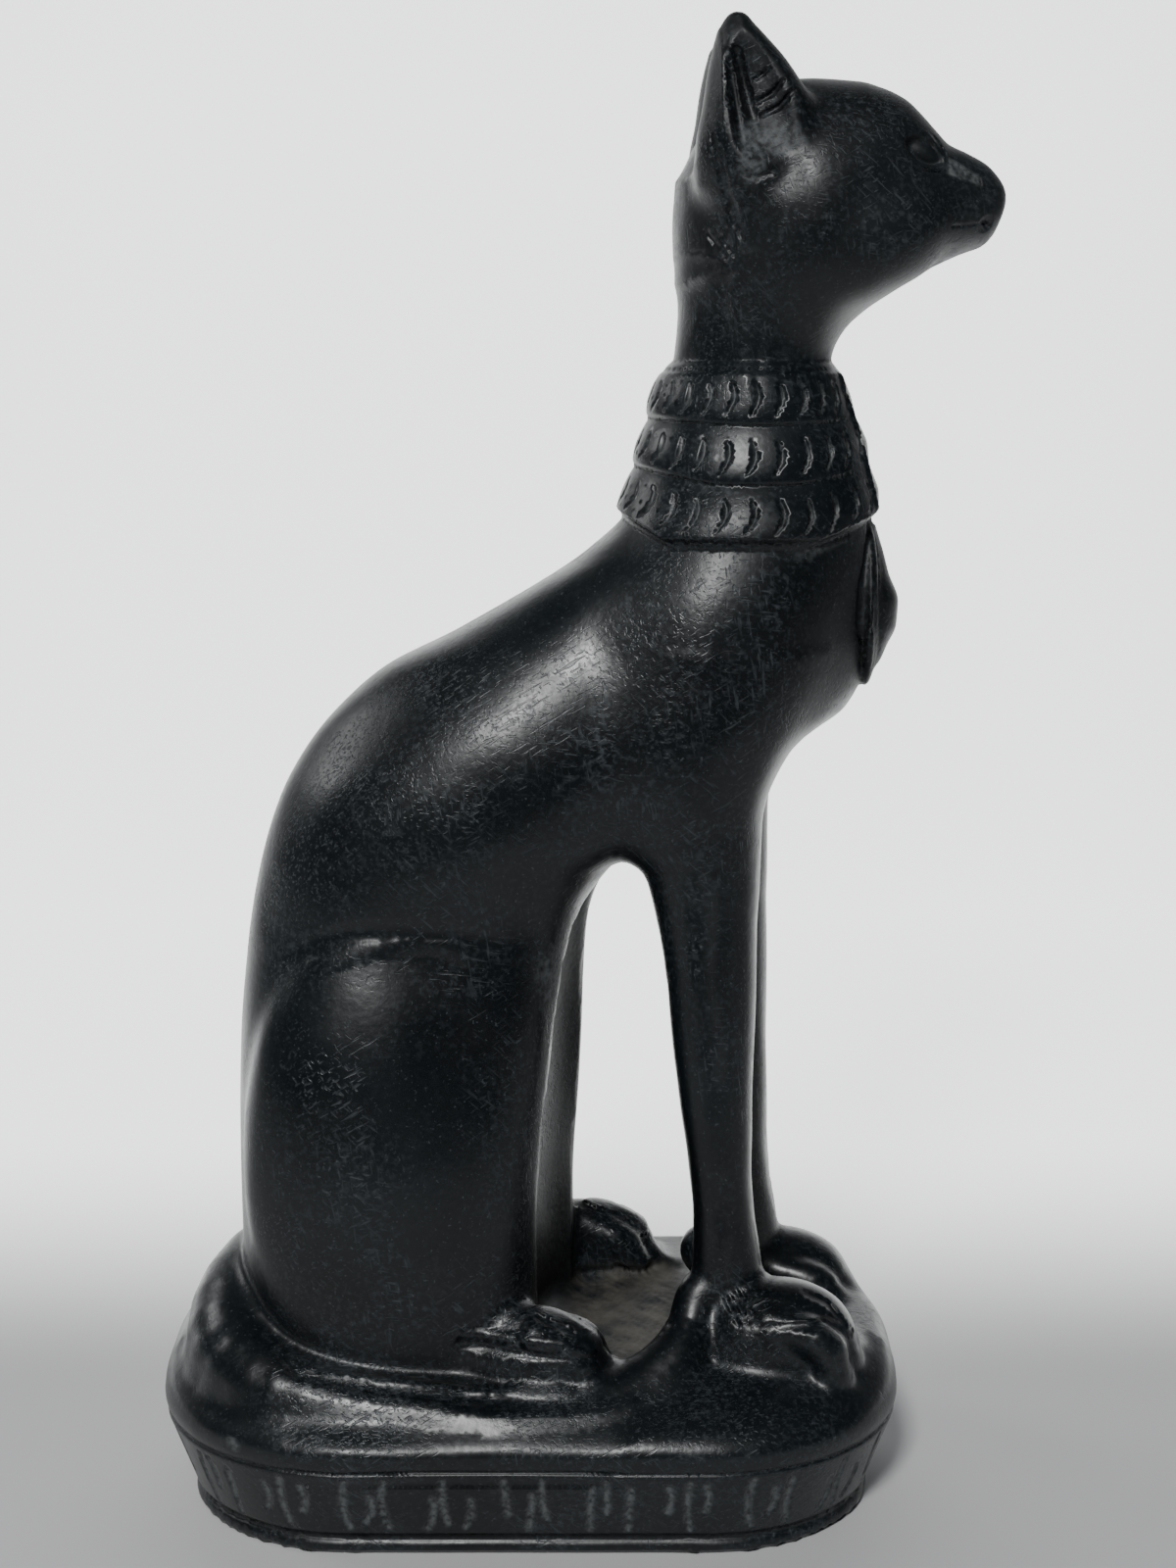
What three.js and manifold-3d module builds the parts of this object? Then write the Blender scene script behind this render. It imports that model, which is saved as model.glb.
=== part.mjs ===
// A seated cat in dark soapstone on a low rounded plinth, carved from one block.
// Millimetres, +Z up, +X the way the cat faces, +Y to its left. The origin is the middle of the underside.
//
// The plinth has sizes of its own. The figure is drawn in shares: one share is a hundredth of the
// figure's height, measured from the plinth's top plane, and every length of the figure is given in them.
// Its forms are solids of known distance that flow into each other. The surface where the distance is
// zero is meshed on a fine lattice, and then thinned to few facets where it is flat.

import * as THREE from 'three';
import { edgeTable, triTable } from 'three/addons/objects/MarchingCubes.js';
import Module from 'manifold-3d';

// Driving dimensions

const FIGURE_HEIGHT = 178;       // a hundred shares; the ear tips reach just short of it
const PLINTH_LENGTH = 95;        // at the lip, along X
const PLINTH_WIDTH = 54;         // at the lip, along Y
const PLINTH_CORNER_RADIUS = 24; // of the lip's plan
const PLINTH_HEIGHT = 23.4;      // underside to the plane that the cat sits on
const LIP_HEIGHT = 2.2;          // small moulding round the foot
const LIP_ROUNDING = 0.9;        // its lower edge
const BAND_TOP = 13.0;           // upper edge of the plain band that carried the inscription
const BAND_FLARE = 3.8;          // the band leans out by this much towards its top
const GROOVE_WIDTH = 0.8;        // incised lines above and below the band
const GROOVE_DEPTH = 0.6;
const COLLAR_STROKES = 26;       // cuts round each ring of the collar
const CREST_HEIGHT = 15.2;       // height of the rolled edge above the band
const CREST_OVERHANG = 4.0;      // the rolled edge stands out past the lip by this much
const SHOULDER_RUN = 5;          // width of the plinth's rounded upper edge
const TAIL_SIDE_RUN = 15;        // the same where the tail lies on it
const TOP_TILT = 0.07;           // rise of the plinth's top for each millimetre towards the far side

const LATTICE = 1.15;            // spacing of the lattice that finds the figure's surface
const FIGURE_FACETS = 5900;      // triangles left after thinning

const STONE = { color: 0x17191a, roughness: 0.38, metalness: 0.0 };

const share = FIGURE_HEIGHT / 100;

// Curves

// A smooth curve of one variable through [at, value] points, without overshoot, held level past its ends.
function curveThrough(points) {
  const at = points.map((p) => p[0]);
  const value = points.map((p) => p[1]);
  const last = at.length - 1;
  const slope = value.map((_, i) => {
    if (i === 0 || i === last) return 0;
    const before = (value[i] - value[i - 1]) / (at[i] - at[i - 1]);
    const after = (value[i + 1] - value[i]) / (at[i + 1] - at[i]);
    return before * after > 0 ? (2 * before * after) / (before + after) : 0;
  });
  slope[0] = (value[1] - value[0]) / (at[1] - at[0]);
  slope[last] = (value[last] - value[last - 1]) / (at[last] - at[last - 1]);
  return (t) => {
    if (t <= at[0]) return value[0];
    if (t >= at[last]) return value[last];
    let i = 1;
    while (at[i] < t) i += 1;
    const span = at[i] - at[i - 1];
    const u = (t - at[i - 1]) / span;
    const rise = value[i] - value[i - 1];
    const a = slope[i - 1] * span - rise;
    const b = rise - slope[i] * span;
    return value[i - 1] + rise * u + u * (1 - u) * ((1 - u) * a + u * b);
  };
}

// The same curve sampled closely, with its slope, for the many points of the lattice.
class SampledCurve {
  constructor(points, scale, valueScale) {
    const curve = curveThrough(points);
    const first = points[0][0];
    const end = points[points.length - 1][0];
    this.start = first * scale;
    this.step = 0.1 * share;
    const count = Math.ceil(((end - first) * scale) / this.step) + 2;
    this.values = Float64Array.from({ length: count }, (_, i) => curve(first + (i * this.step) / scale) * valueScale);
  }

  at(t) {
    const place = Math.min(Math.max((t - this.start) / this.step, 0), this.values.length - 1.001);
    const i = Math.floor(place);
    this.slope = (this.values[i + 1] - this.values[i]) / this.step;
    return this.values[i] + (this.values[i + 1] - this.values[i]) * (place - i);
  }
}

const STEEPEST = 0.3;            // a loft's side, at its steepest, is at least this share of the way off it
const CLEAR_OF = 4 * share;      // past this the distance to a limb is only roughly worked out

// Blends of two distances

function flowTogether(a, b, radius) {
  const near = Math.max(radius - Math.abs(a - b), 0) / radius;
  return Math.min(a, b) - near * near * radius * 0.25;
}

function carveOut(a, tool, radius) {
  return -flowTogether(-a, tool, radius);
}

// Forms. Each gives a distance: negative inside, zero on its surface, positive outside.

// A loft of flat sections stacked along an axis. Every section is a rounded oblong that reaches from
// rear to fore, is widest at its keel and is half as wide as half; fullness 2 is an ellipse, more is boxier.
class Loft {
  constructor(stations, axis = 'z') {
    const column = (i, valueScale) => new SampledCurve(stations.map((row) => [row[0], row[i]]), share, valueScale);
    this.rear = column(1, share);
    this.fore = column(2, share);
    this.keel = column(3, share);
    this.half = column(4, share);
    this.rearFullness = column(5, 1);
    this.foreFullness = column(6, 1);
    this.low = stations[0][0] * share;
    this.high = stations[stations.length - 1][0] * share;
    this.alongX = axis === 'x';
  }

  distance(x, y, z) {
    const along = this.alongX ? x : z;
    const across = this.alongX ? z : x;
    const rear = this.rear.at(along);
    const fore = this.fore.at(along);
    const keel = this.keel.at(along);
    const half = this.half.at(along);
    const ahead = across > keel;
    const reach = ahead ? fore - keel : keel - rear;
    const reachSlope = ahead ? this.fore.slope - this.keel.slope : this.keel.slope - this.rear.slope;
    const full = (ahead ? this.foreFullness : this.rearFullness).at(along);
    const u = Math.abs(across - keel) / reach;
    const v = Math.abs(y) / half;
    const size = Math.pow(Math.pow(u, full) + Math.pow(v, full), 1 / full) + 1e-6;
    const byU = Math.pow(u / size, full - 1);
    const byV = Math.pow(v / size, full - 1);
    const side = ahead ? 1 : -1;
    const gradAlong = byU * (-side * this.keel.slope - u * reachSlope) / reach - byV * v * this.half.slope / half;
    const steepness = Math.hypot(byU / reach, byV / half, gradAlong);
    const section = (size - 1) / Math.max(steepness, 1e-4);
    const beside = STEEPEST * Math.max(Math.abs(across - keel) - reach, Math.abs(y) - half);
    return Math.max(section, beside, this.low - along, along - this.high);
  }
}

// An ellipsoid, tilted about Y, and if wanted turned about Z.
class Ellipsoid {
  constructor([x, y, z], radii, { tilt = 0, turn = 0 } = {}) {
    this.centre = [x * share, y * share, z * share];
    this.radii = radii.map((r) => r * share);
    this.tilt = [Math.cos(THREE.MathUtils.degToRad(tilt)), Math.sin(THREE.MathUtils.degToRad(tilt))];
    this.turn = [Math.cos(THREE.MathUtils.degToRad(turn)), Math.sin(THREE.MathUtils.degToRad(turn))];
  }

  distance(x, y, z) {
    const dx = x - this.centre[0];
    const dy = y - this.centre[1];
    const dz = z - this.centre[2];
    const tx = dx * this.turn[0] + dy * this.turn[1];
    const ty = dy * this.turn[0] - dx * this.turn[1];
    const a = (tx * this.tilt[0] + dz * this.tilt[1]) / this.radii[0];
    const b = ty / this.radii[1];
    const c = (dz * this.tilt[0] - tx * this.tilt[1]) / this.radii[2];
    const size = Math.hypot(a, b, c);
    const steepness = Math.hypot(a / this.radii[0], b / this.radii[1], c / this.radii[2]) / Math.max(size, 1e-6);
    return (size - 1) / Math.max(steepness, 1e-4);
  }
}

// A rounded limb along a smooth curve through [x, y, z, radius] points, in shares.
class Limb {
  constructor(points, steps = points.length * 3) {
    const line = new THREE.CatmullRomCurve3(points.map((p) => new THREE.Vector3(p[0], p[1], p[2])), false, 'centripetal');
    const girth = curveThrough(points.map((p, i) => [i / (points.length - 1), p[3]]));
    this.points = [];
    for (let i = 0; i <= steps; i += 1) {
      const spot = line.getPoint(i / steps);
      this.points.push([spot.x * share, spot.y * share, spot.z * share, girth(i / steps) * share]);
    }
    const reach = (axis, sign) => Math.max(...this.points.map((p) => sign * p[axis] + p[3]));
    this.low = [0, 1, 2].map((axis) => -reach(axis, -1));
    this.high = [0, 1, 2].map((axis) => reach(axis, 1));
  }

  distance(x, y, z) {
    const outX = Math.max(this.low[0] - x, x - this.high[0], 0);
    const outY = Math.max(this.low[1] - y, y - this.high[1], 0);
    const outZ = Math.max(this.low[2] - z, z - this.high[2], 0);
    const outside = Math.hypot(outX, outY, outZ);
    if (outside > CLEAR_OF) return outside;
    let best = Infinity;
    for (let i = 1; i < this.points.length; i += 1) {
      const [ax, ay, az, ar] = this.points[i - 1];
      const [bx, by, bz, br] = this.points[i];
      const ux = bx - ax;
      const uy = by - ay;
      const uz = bz - az;
      const px = x - ax;
      const py = y - ay;
      const pz = z - az;
      const t = (px * ux + py * uy + pz * uz) / (ux * ux + uy * uy + uz * uz);
      const u = Math.min(Math.max(t, 0), 1);
      const dx = px - u * ux;
      const dy = py - u * uy;
      const dz = pz - u * uz;
      best = Math.min(best, Math.sqrt(dx * dx + dy * dy + dz * dz) - (ar + (br - ar) * u));
    }
    return best;
  }
}

// The cat, in shares. Heights are measured from the plinth's top plane.

// height, back, front, keel, half width, fullness of the back, fullness of the front
const TRUNK = new Loft([
  [-5, -22.2, 2.2, -8.0, 11.4, 2.3, 4.0],
  [0, -22.2, 2.2, -8.0, 11.6, 2.3, 4.0],
  [8, -22.1, 2.2, -8.0, 11.9, 2.3, 4.0],
  [16, -22.2, 2.7, -8.0, 11.7, 2.3, 4.0],
  [24, -22.1, 3.3, -8.0, 10.9, 2.3, 4.0],
  [31, -21.6, 3.9, -7.6, 10.1, 2.2, 3.8],
  [34, -21.2, 4.7, -7.2, 9.9, 2.2, 3.4],
  [37, -20.6, 6.6, -6.2, 9.8, 2.2, 3.0],
  [40, -19.8, 11.5, -4.2, 9.8, 2.2, 2.6],
  [43, -18.7, 14.6, -1.8, 9.7, 2.2, 2.3],
  [46, -17.0, 19.4, 1.0, 9.5, 2.1, 2.2],
  [49, -14.6, 24.2, 4.2, 9.2, 2.1, 2.2],
  [52, -11.1, 25.6, 7.6, 8.9, 2.1, 2.2],
  [55, -5.3, 26.1, 10.4, 8.6, 2.1, 2.2],
  [58, -0.1, 26.1, 13.2, 8.3, 2.1, 2.2],
  [61, 4.5, 26.0, 15.2, 7.9, 2.1, 2.2],
  [64, 7.5, 25.6, 16.2, 7.5, 2.1, 2.2],
  [67, 8.5, 24.9, 16.6, 7.1, 2.0, 2.0],
  [70, 9.4, 24.0, 16.8, 6.5, 2.0, 2.0],
  [73, 10.2, 22.9, 17.0, 6.0, 2.0, 2.0],
  [75.5, 10.9, 22.6, 17.0, 5.8, 2.0, 2.0],
  [79, 11.2, 22.8, 17.0, 6.0, 2.0, 2.0],
  [83, 11.2, 22.6, 17.0, 6.5, 2.0, 2.0],
  [87, 12.1, 22.3, 17.0, 6.5, 2.0, 2.0],
]);

// distance along X, underside, top, height of the greatest width, half width, fullness below, fullness above
const FACE = new Loft([
  [14.4, 84.6, 86.6, 85.6, 0.9, 2.0, 2.0],
  [14.8, 82.4, 89.4, 85.5, 3.2, 2.0, 2.0],
  [15.6, 80.2, 91.9, 85.4, 5.4, 2.0, 2.0],
  [16.8, 78.2, 93.7, 85.2, 7.2, 2.1, 2.1],
  [18.4, 76.9, 94.7, 85.0, 8.4, 2.2, 2.1],
  [21.0, 76.9, 95.1, 85.2, 8.9, 2.2, 2.1],
  [24.3, 78.3, 95.2, 85.6, 8.2, 2.2, 2.2],
  [26.0, 79.4, 94.8, 85.8, 7.5, 2.2, 2.3],
  [27.7, 80.4, 94.0, 86.0, 6.7, 2.2, 2.4],
  [28.8, 81.0, 93.0, 86.0, 6.2, 2.2, 2.4],
  [29.9, 81.7, 91.8, 86.0, 5.7, 2.2, 2.4],
  [30.9, 82.2, 90.8, 86.0, 5.2, 2.2, 2.4],
  [32.4, 82.9, 90.1, 86.2, 4.5, 2.2, 2.4],
  [33.7, 83.4, 89.4, 86.4, 3.8, 2.2, 2.4],
  [34.4, 84.1, 88.8, 86.6, 3.2, 2.2, 2.2],
  [34.9, 85.1, 88.2, 86.7, 2.5, 2.1, 2.1],
  [35.2, 85.9, 87.7, 86.8, 1.6, 2.1, 2.1],
  [35.4, 86.6, 87.1, 86.85, 0.5, 2.0, 2.0],
], 'x');

const CRANIUM = new Ellipsoid([20.2, 0, 86.8], [8.9, 8.7, 8.3]);
const CHEEK = new Ellipsoid([25.4, 4.4, 83.9], [4.6, 3.5, 3.4], { tilt: 24 });
const WHISKER_PAD = new Ellipsoid([32.3, 1.9, 86.0], [2.1, 1.9, 1.6]);
const EYE_SOCKET = new Ellipsoid([29.0, 5.9, 89.9], [2.0, 1.6, 1.2], { tilt: -22, turn: -24 });
const EYEBALL = new Ellipsoid([28.6, 4.0, 89.7], [1.7, 1.15, 1.0], { tilt: -22, turn: -24 });

const NECK_BLEND = 3.0 * share;
const BODY_BLEND = 4.0 * share;
const THIGH_BLEND = 1.6 * share;
const LEG_BLEND = 2.6 * share;
const PAW_BLEND = 1.2 * share;
const TOE_BLEND = 0.5 * share;
const TAIL_BLEND = 1.0 * share;
const EAR_BLEND = 0.7 * share;

// height, rear edge, fore edge, keel, half width, fullnesses
const EAR = new Loft([
  [82.0, 16.0, 17.4, 16.6, 0.4, 2.0, 2.0],
  [83.2, 14.9, 18.8, 16.5, 1.5, 2.0, 2.0],
  [85.4, 13.5, 20.3, 16.3, 2.5, 2.0, 2.0],
  [87.5, 12.4, 21.2, 16.0, 3.2, 2.0, 2.0],
  [90.0, 12.1, 21.5, 15.8, 3.6, 2.0, 2.0],
  [92.8, 12.6, 20.9, 15.6, 3.5, 2.0, 2.0],
  [94.8, 12.9, 19.6, 15.4, 3.1, 2.0, 2.0],
  [96.3, 13.2, 18.5, 15.2, 2.7, 2.0, 2.0],
  [97.8, 13.6, 17.1, 15.1, 2.1, 2.0, 2.0],
  [98.6, 14.0, 16.3, 15.05, 1.5, 2.0, 2.0],
  [99.15, 14.4, 15.8, 15.05, 1.0, 2.0, 2.0],
  [99.4, 14.8, 15.4, 15.05, 0.4, 2.0, 2.0],
]);
const EAR_OUT = new SampledCurve([[78, 3.4], [84, 4.9], [90, 5.6], [100, 6.1]], share, share);
const EAR_HOLLOW = new Ellipsoid([17.2, 9.9, 92.4], [2.7, 2.0, 6.2], { tilt: 14, turn: 14 });

// height, rear, front, keel, half width, fullnesses, drawn for a leg that stands on the mid-plane
const FORELEG = new Loft([
  [-3.0, 13.2, 19.4, 16.4, 2.7, 2.0, 2.0],
  [3.0, 13.5, 19.2, 16.4, 2.6, 2.0, 2.0],
  [7.0, 13.6, 18.8, 16.4, 2.5, 2.0, 2.0],
  [10.1, 13.6, 18.3, 16.1, 2.45, 2.0, 2.1],
  [14.2, 13.2, 18.0, 15.7, 2.5, 2.0, 2.1],
  [19.4, 12.4, 18.0, 15.3, 2.6, 2.0, 2.1],
  [24.5, 11.7, 18.0, 14.9, 2.75, 2.0, 2.1],
  [28.4, 11.2, 18.0, 14.6, 2.9, 2.0, 2.1],
  [32.7, 10.5, 18.0, 14.2, 3.2, 2.0, 2.1],
  [35.7, 9.8, 18.1, 13.9, 3.5, 2.0, 2.1],
  [39.0, 8.6, 18.1, 13.6, 3.9, 2.0, 2.1],
  [43.0, 7.6, 18.2, 13.4, 4.3, 2.0, 2.1],
  [48.0, 7.6, 18.9, 13.9, 4.4, 2.0, 2.1],
  [52.0, 9.0, 20.6, 14.8, 4.0, 2.0, 2.1],
]);
const FORELEG_OUT = new SampledCurve([[-3, 5.6], [8, 5.2], [25, 5.0], [40, 4.7], [52, 4.4]], share, share);

const THIGH = new Ellipsoid([-9.7, 7.8, 14.7], [10.2, 5.5, 18.4], { tilt: 4 });
const SHOULDER = new Ellipsoid([14.0, 5.0, 51.4], [6.4, 5.0, 12.0], { tilt: -14 });
const FLANK = new Ellipsoid([-3.5, 4.7, 42.0], [14.0, 6.2, 7.8], { tilt: 36 });

// The cat sits a little askew: the far side is ahead of the near one, less and less towards the neck.
const SKEW = new SampledCurve([[-5, 0.19], [10, 0.19], [30, 0.15], [50, 0.08], [64, 0.0], [80, 0.0]], share, 1);

// The hollow between the thighs, in front of the belly.
const BELLY_HOLLOW = new Ellipsoid([4.2, -0.5, 11], [4.0, 6.4, 24]);

const FOREPAW_SKEW = 0.07;       // the forepaws stand askew less than the body does
const FOREPAW_OUT = 6.5;
const FOREPAW = new Ellipsoid([19.4, FOREPAW_OUT, -0.2], [6.4, 4.2, 5.3]);
const FOREPAW_HEEL = new Ellipsoid([13.3, FOREPAW_OUT, 3.2], [1.7, 1.7, 2.0]);
const FOREPAW_TOES = [-1.5, -0.5, 0.5, 1.5].map((place) => new Limb([
  [19.0, FOREPAW_OUT + place * 1.7, 2.4, 1.3],
  [22.8, FOREPAW_OUT + place * 2.1, 2.3 - Math.abs(place) * 0.8, 1.7],
  [24.9 - Math.abs(place) * 0.7, FOREPAW_OUT + place * 2.2, -0.4 - Math.abs(place) * 0.5, 1.35],
]));
const HINDPAW_OUT = 10.3;
const HINDPAW = new Ellipsoid([2.1, HINDPAW_OUT - 0.2, 0.3], [6.0, 2.7, 5.0], { turn: 9 });
const HINDPAW_TOES = [-1, 0, 1].map((place) => new Limb([
  [2.8, HINDPAW_OUT + place * 1.2, 3.5, 1.1],
  [5.6, HINDPAW_OUT + place * 1.4, 2.1, 1.35],
  [7.5 - Math.abs(place) * 0.6, HINDPAW_OUT + place * 1.5, 0.2, 1.1],
]));

const TAIL = new Limb([
  [-13.6, 1.5, 5.2, 4.5],
  [-20.5, -0.5, 2.9, 4.8],
  [-22.1, -5.3, 0.3, 4.6],
  [-20.0, -9.8, -1.6, 3.9],
  [-14.5, -11.9, -2.6, 3.2],
  [-7.0, -12.5, -3.4, 2.8],
  [0.5, -12.3, -3.9, 2.7],
  [5.5, -11.6, -3.0, 2.7],
  [9.2, -10.4, -1.6, 2.5],
  [11.3, -9.0, 0.1, 2.2],
  [12.4, -7.4, 2.0, 1.7],
], 30);

const PECTORAL_PLATE = new Ellipsoid([25.6, 0, 57.0], [1.0, 4.2, 6.4]);

// height, back, front, keel, half width, fullnesses
const PECTORAL_BOSS = new Loft([
  [51.2, 24.5, 25.4, 25.0, 0.6, 2.0, 2.0],
  [52.4, 24.5, 26.7, 25.2, 1.9, 2.0, 2.0],
  [53.7, 24.5, 27.3, 25.2, 2.6, 2.0, 2.0],
  [55.3, 24.5, 28.0, 25.2, 3.1, 2.0, 2.0],
  [57.0, 24.5, 28.1, 25.2, 3.2, 2.0, 2.0],
  [59.2, 24.5, 27.3, 25.2, 2.9, 2.0, 2.0],
  [61.0, 24.5, 26.8, 25.2, 2.3, 2.0, 2.0],
  [62.8, 24.5, 26.2, 25.2, 1.5, 2.0, 2.0],
]);

// collar: three swollen rings between these heights, and how far they stand out
const COLLAR_TOP = 74.4;
const COLLAR_FOOT = 63.8;
const COLLAR_RINGS = 3;
const RING_HEIGHT = (COLLAR_TOP - COLLAR_FOOT) / COLLAR_RINGS;
const RING_SWELL = 0.283;        // a ring stands out by this much of its height
const COLLAR_SAG = 1.6;          // how much lower the foot runs at the sides than at the throat
const COLLAR_HALF_WIDTH = 7.6;
const COLLAR_AXIS = 16.6;        // where the neck's middle runs, ahead of the origin
const RING_DROOP = 1.5;          // over 1, each ring swells most in its lower half
const STROKE_LEAN = 0.13;        // a cut runs back by this much of the ring's height at its lower end
const STROKE_BOW = 0.11;         // its middle bows forward by this much of it
const STROKE_WIDTH = 0.16;       // half its width at the surface, of the ring's height
const STROKE_DEPTH = 0.072;
const THROAT_HALF = 2.4;         // the cuts leave a plain panel this wide at the throat, each way

// Where a point lies on the collar: 0 at its top edge and 1 at its foot. The rings sag at the sides.
function collarPlace(y, z) {
  const sideways = Math.min(Math.abs(y) / (COLLAR_HALF_WIDTH * share), 1);
  const drop = (COLLAR_TOP - z / share) / (COLLAR_TOP - COLLAR_FOOT);
  const sag = (COLLAR_SAG / (COLLAR_TOP - COLLAR_FOOT)) * sideways * sideways;
  return drop - sag * Math.min(Math.max(drop, 0), 1.3);
}

// How far the collar stands out of the neck. Each ring is a roll with a crease under it, and the creases
// die out towards the throat.
function collarSwell(x, y, z) {
  const place = collarPlace(y, z);
  const top = Math.min(Math.max((place + 0.06) / 0.09, 0), 1);
  const foot = Math.min(Math.max((1.04 - place) / 0.07, 0), 1);
  if (top === 0 || foot === 0) return 0;
  const within = place * COLLAR_RINGS - Math.floor(place * COLLAR_RINGS);
  const roll = Math.sqrt(Math.max(0, 1 - Math.pow(2 * Math.pow(within, RING_DROOP) - 1, 2)));
  const towardsThroat = Math.min(Math.max((x / share - 19) / 6, 0), 1);
  const creased = 0.5 + 0.5 * roll;
  return RING_SWELL * RING_HEIGHT * share * (creased + (0.85 - creased) * towardsThroat) * top * foot;
}

const HEAD_FROM = 70 * share;    // the head, the paws and the tail are only asked for near their own height
const PAWS_TO = 14 * share;
const TAIL_TO = 16 * share;

// The head with its ears, eyes and muzzle; side is the distance from the mid-plane.
function headDistance(x, y, side, z) {
  let head = flowTogether(FACE.distance(x, y, z), CRANIUM.distance(x, y, z), 1.5 * share);
  head = flowTogether(head, CHEEK.distance(x, side, z), 2.2 * share);
  head = flowTogether(head, WHISKER_PAD.distance(x, side, z), 0.8 * share);
  head = carveOut(head, EYE_SOCKET.distance(x, side, z), 0.5 * share);
  head = flowTogether(head, EYEBALL.distance(x, side, z), 0.2 * share);
  let ear = EAR.distance(x, side - EAR_OUT.at(z), z);
  ear = flowTogether(head, ear, EAR_BLEND);
  return carveOut(ear, EAR_HOLLOW.distance(x, side, z), 0.9 * share);
}

// The four paws. The hind ones follow the tilt of the plinth's top; of the fore ones the near stands higher.
function pawsDistance(x, bodyX, y, side, z) {
  const foreX = x - FOREPAW_SKEW * y;
  const foreZ = z + 0.5 * TOP_TILT * y;
  let forepaw = FOREPAW.distance(foreX, side, foreZ);
  for (const toe of FOREPAW_TOES) forepaw = flowTogether(forepaw, toe.distance(foreX, side, foreZ), TOE_BLEND);
  forepaw = flowTogether(forepaw, FOREPAW_HEEL.distance(foreX, side, foreZ), TOE_BLEND);
  const hindZ = z - TOP_TILT * y;
  let hindpaw = HINDPAW.distance(bodyX, side, hindZ);
  for (const toe of HINDPAW_TOES) hindpaw = flowTogether(hindpaw, toe.distance(bodyX, side, hindZ), TOE_BLEND);
  return Math.min(forepaw, hindpaw);
}

// The distance to the cat, tail and all, at a point in millimetres above the plinth's top plane.
function catDistance(x, y, z) {
  const side = Math.abs(y);
  const bodyX = x - SKEW.at(z) * y;
  let body = TRUNK.distance(bodyX, y, z);
  body = flowTogether(body, FLANK.distance(bodyX, side, z), BODY_BLEND);
  body = flowTogether(body, SHOULDER.distance(bodyX, side, z), BODY_BLEND);
  const leg = FORELEG.distance(bodyX, side - FORELEG_OUT.at(z), z);
  body = flowTogether(body, leg, LEG_BLEND);
  body = flowTogether(body, THIGH.distance(bodyX, side, z), THIGH_BLEND);
  body = carveOut(body, BELLY_HOLLOW.distance(bodyX, y, z), THIGH_BLEND);
  body -= collarSwell(x, y, z);
  if (z > HEAD_FROM) body = flowTogether(body, headDistance(x, y, side, z), NECK_BLEND);
  const pectoral = flowTogether(PECTORAL_PLATE.distance(x, y, z), PECTORAL_BOSS.distance(x, y, z), 0.3 * share);
  body = flowTogether(body, pectoral, 0.4 * share);
  if (z < PAWS_TO) body = flowTogether(body, pawsDistance(x, bodyX, y, side, z), PAW_BLEND);
  if (z < TAIL_TO) body = flowTogether(body, TAIL.distance(x, y, z), TAIL_BLEND);
  return body;
}

// Plinth

// Distance in plan to the lip's rounded oblong, negative inside it.
function planDistance(x, y) {
  const qx = Math.abs(x) - (PLINTH_LENGTH / 2 - PLINTH_CORNER_RADIUS);
  const qy = Math.abs(y) - (PLINTH_WIDTH / 2 - PLINTH_CORNER_RADIUS);
  const outside = Math.hypot(Math.max(qx, 0), Math.max(qy, 0));
  return outside + Math.min(Math.max(qx, qy), 0) - PLINTH_CORNER_RADIUS;
}

// The cushion above the band: it bulges at the crest, rolls under to the groove, and rises to a top that
// is a little higher on the far side. It rises gently on the side where the tail lies, steeply elsewhere.
function cushionDistance(x, y, z) {
  const inward = CREST_OVERHANG - planDistance(x, y);
  const tailSide = Math.min(Math.max((-y / PLINTH_WIDTH - 0.1) / 0.35, 0), 1);
  const run = SHOULDER_RUN + (TAIL_SIDE_RUN - SHOULDER_RUN) * tailSide;
  const top = PLINTH_HEIGHT + TOP_TILT * y;
  const rise = z > CREST_HEIGHT ? top - CREST_HEIGHT : CREST_HEIGHT - BAND_TOP + 1.2;
  const width = z > CREST_HEIGHT ? run : 3.0;
  const u = Math.max(1 - inward / width, 0);
  const v = Math.abs(z - CREST_HEIGHT) / rise;
  const size = Math.hypot(u, v) + 1e-6;
  const steepness = Math.hypot(u / width, v / rise) / size;
  return (size - 1) / Math.max(steepness, 0.02);
}

// Everything above the band, at a point in millimetres above the underside.
function figureDistance(x, y, z) {
  return flowTogether(cushionDistance(x, y, z), catDistance(x, y, z - PLINTH_HEIGHT), 1.4 * share);
}

// Meshing

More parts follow.
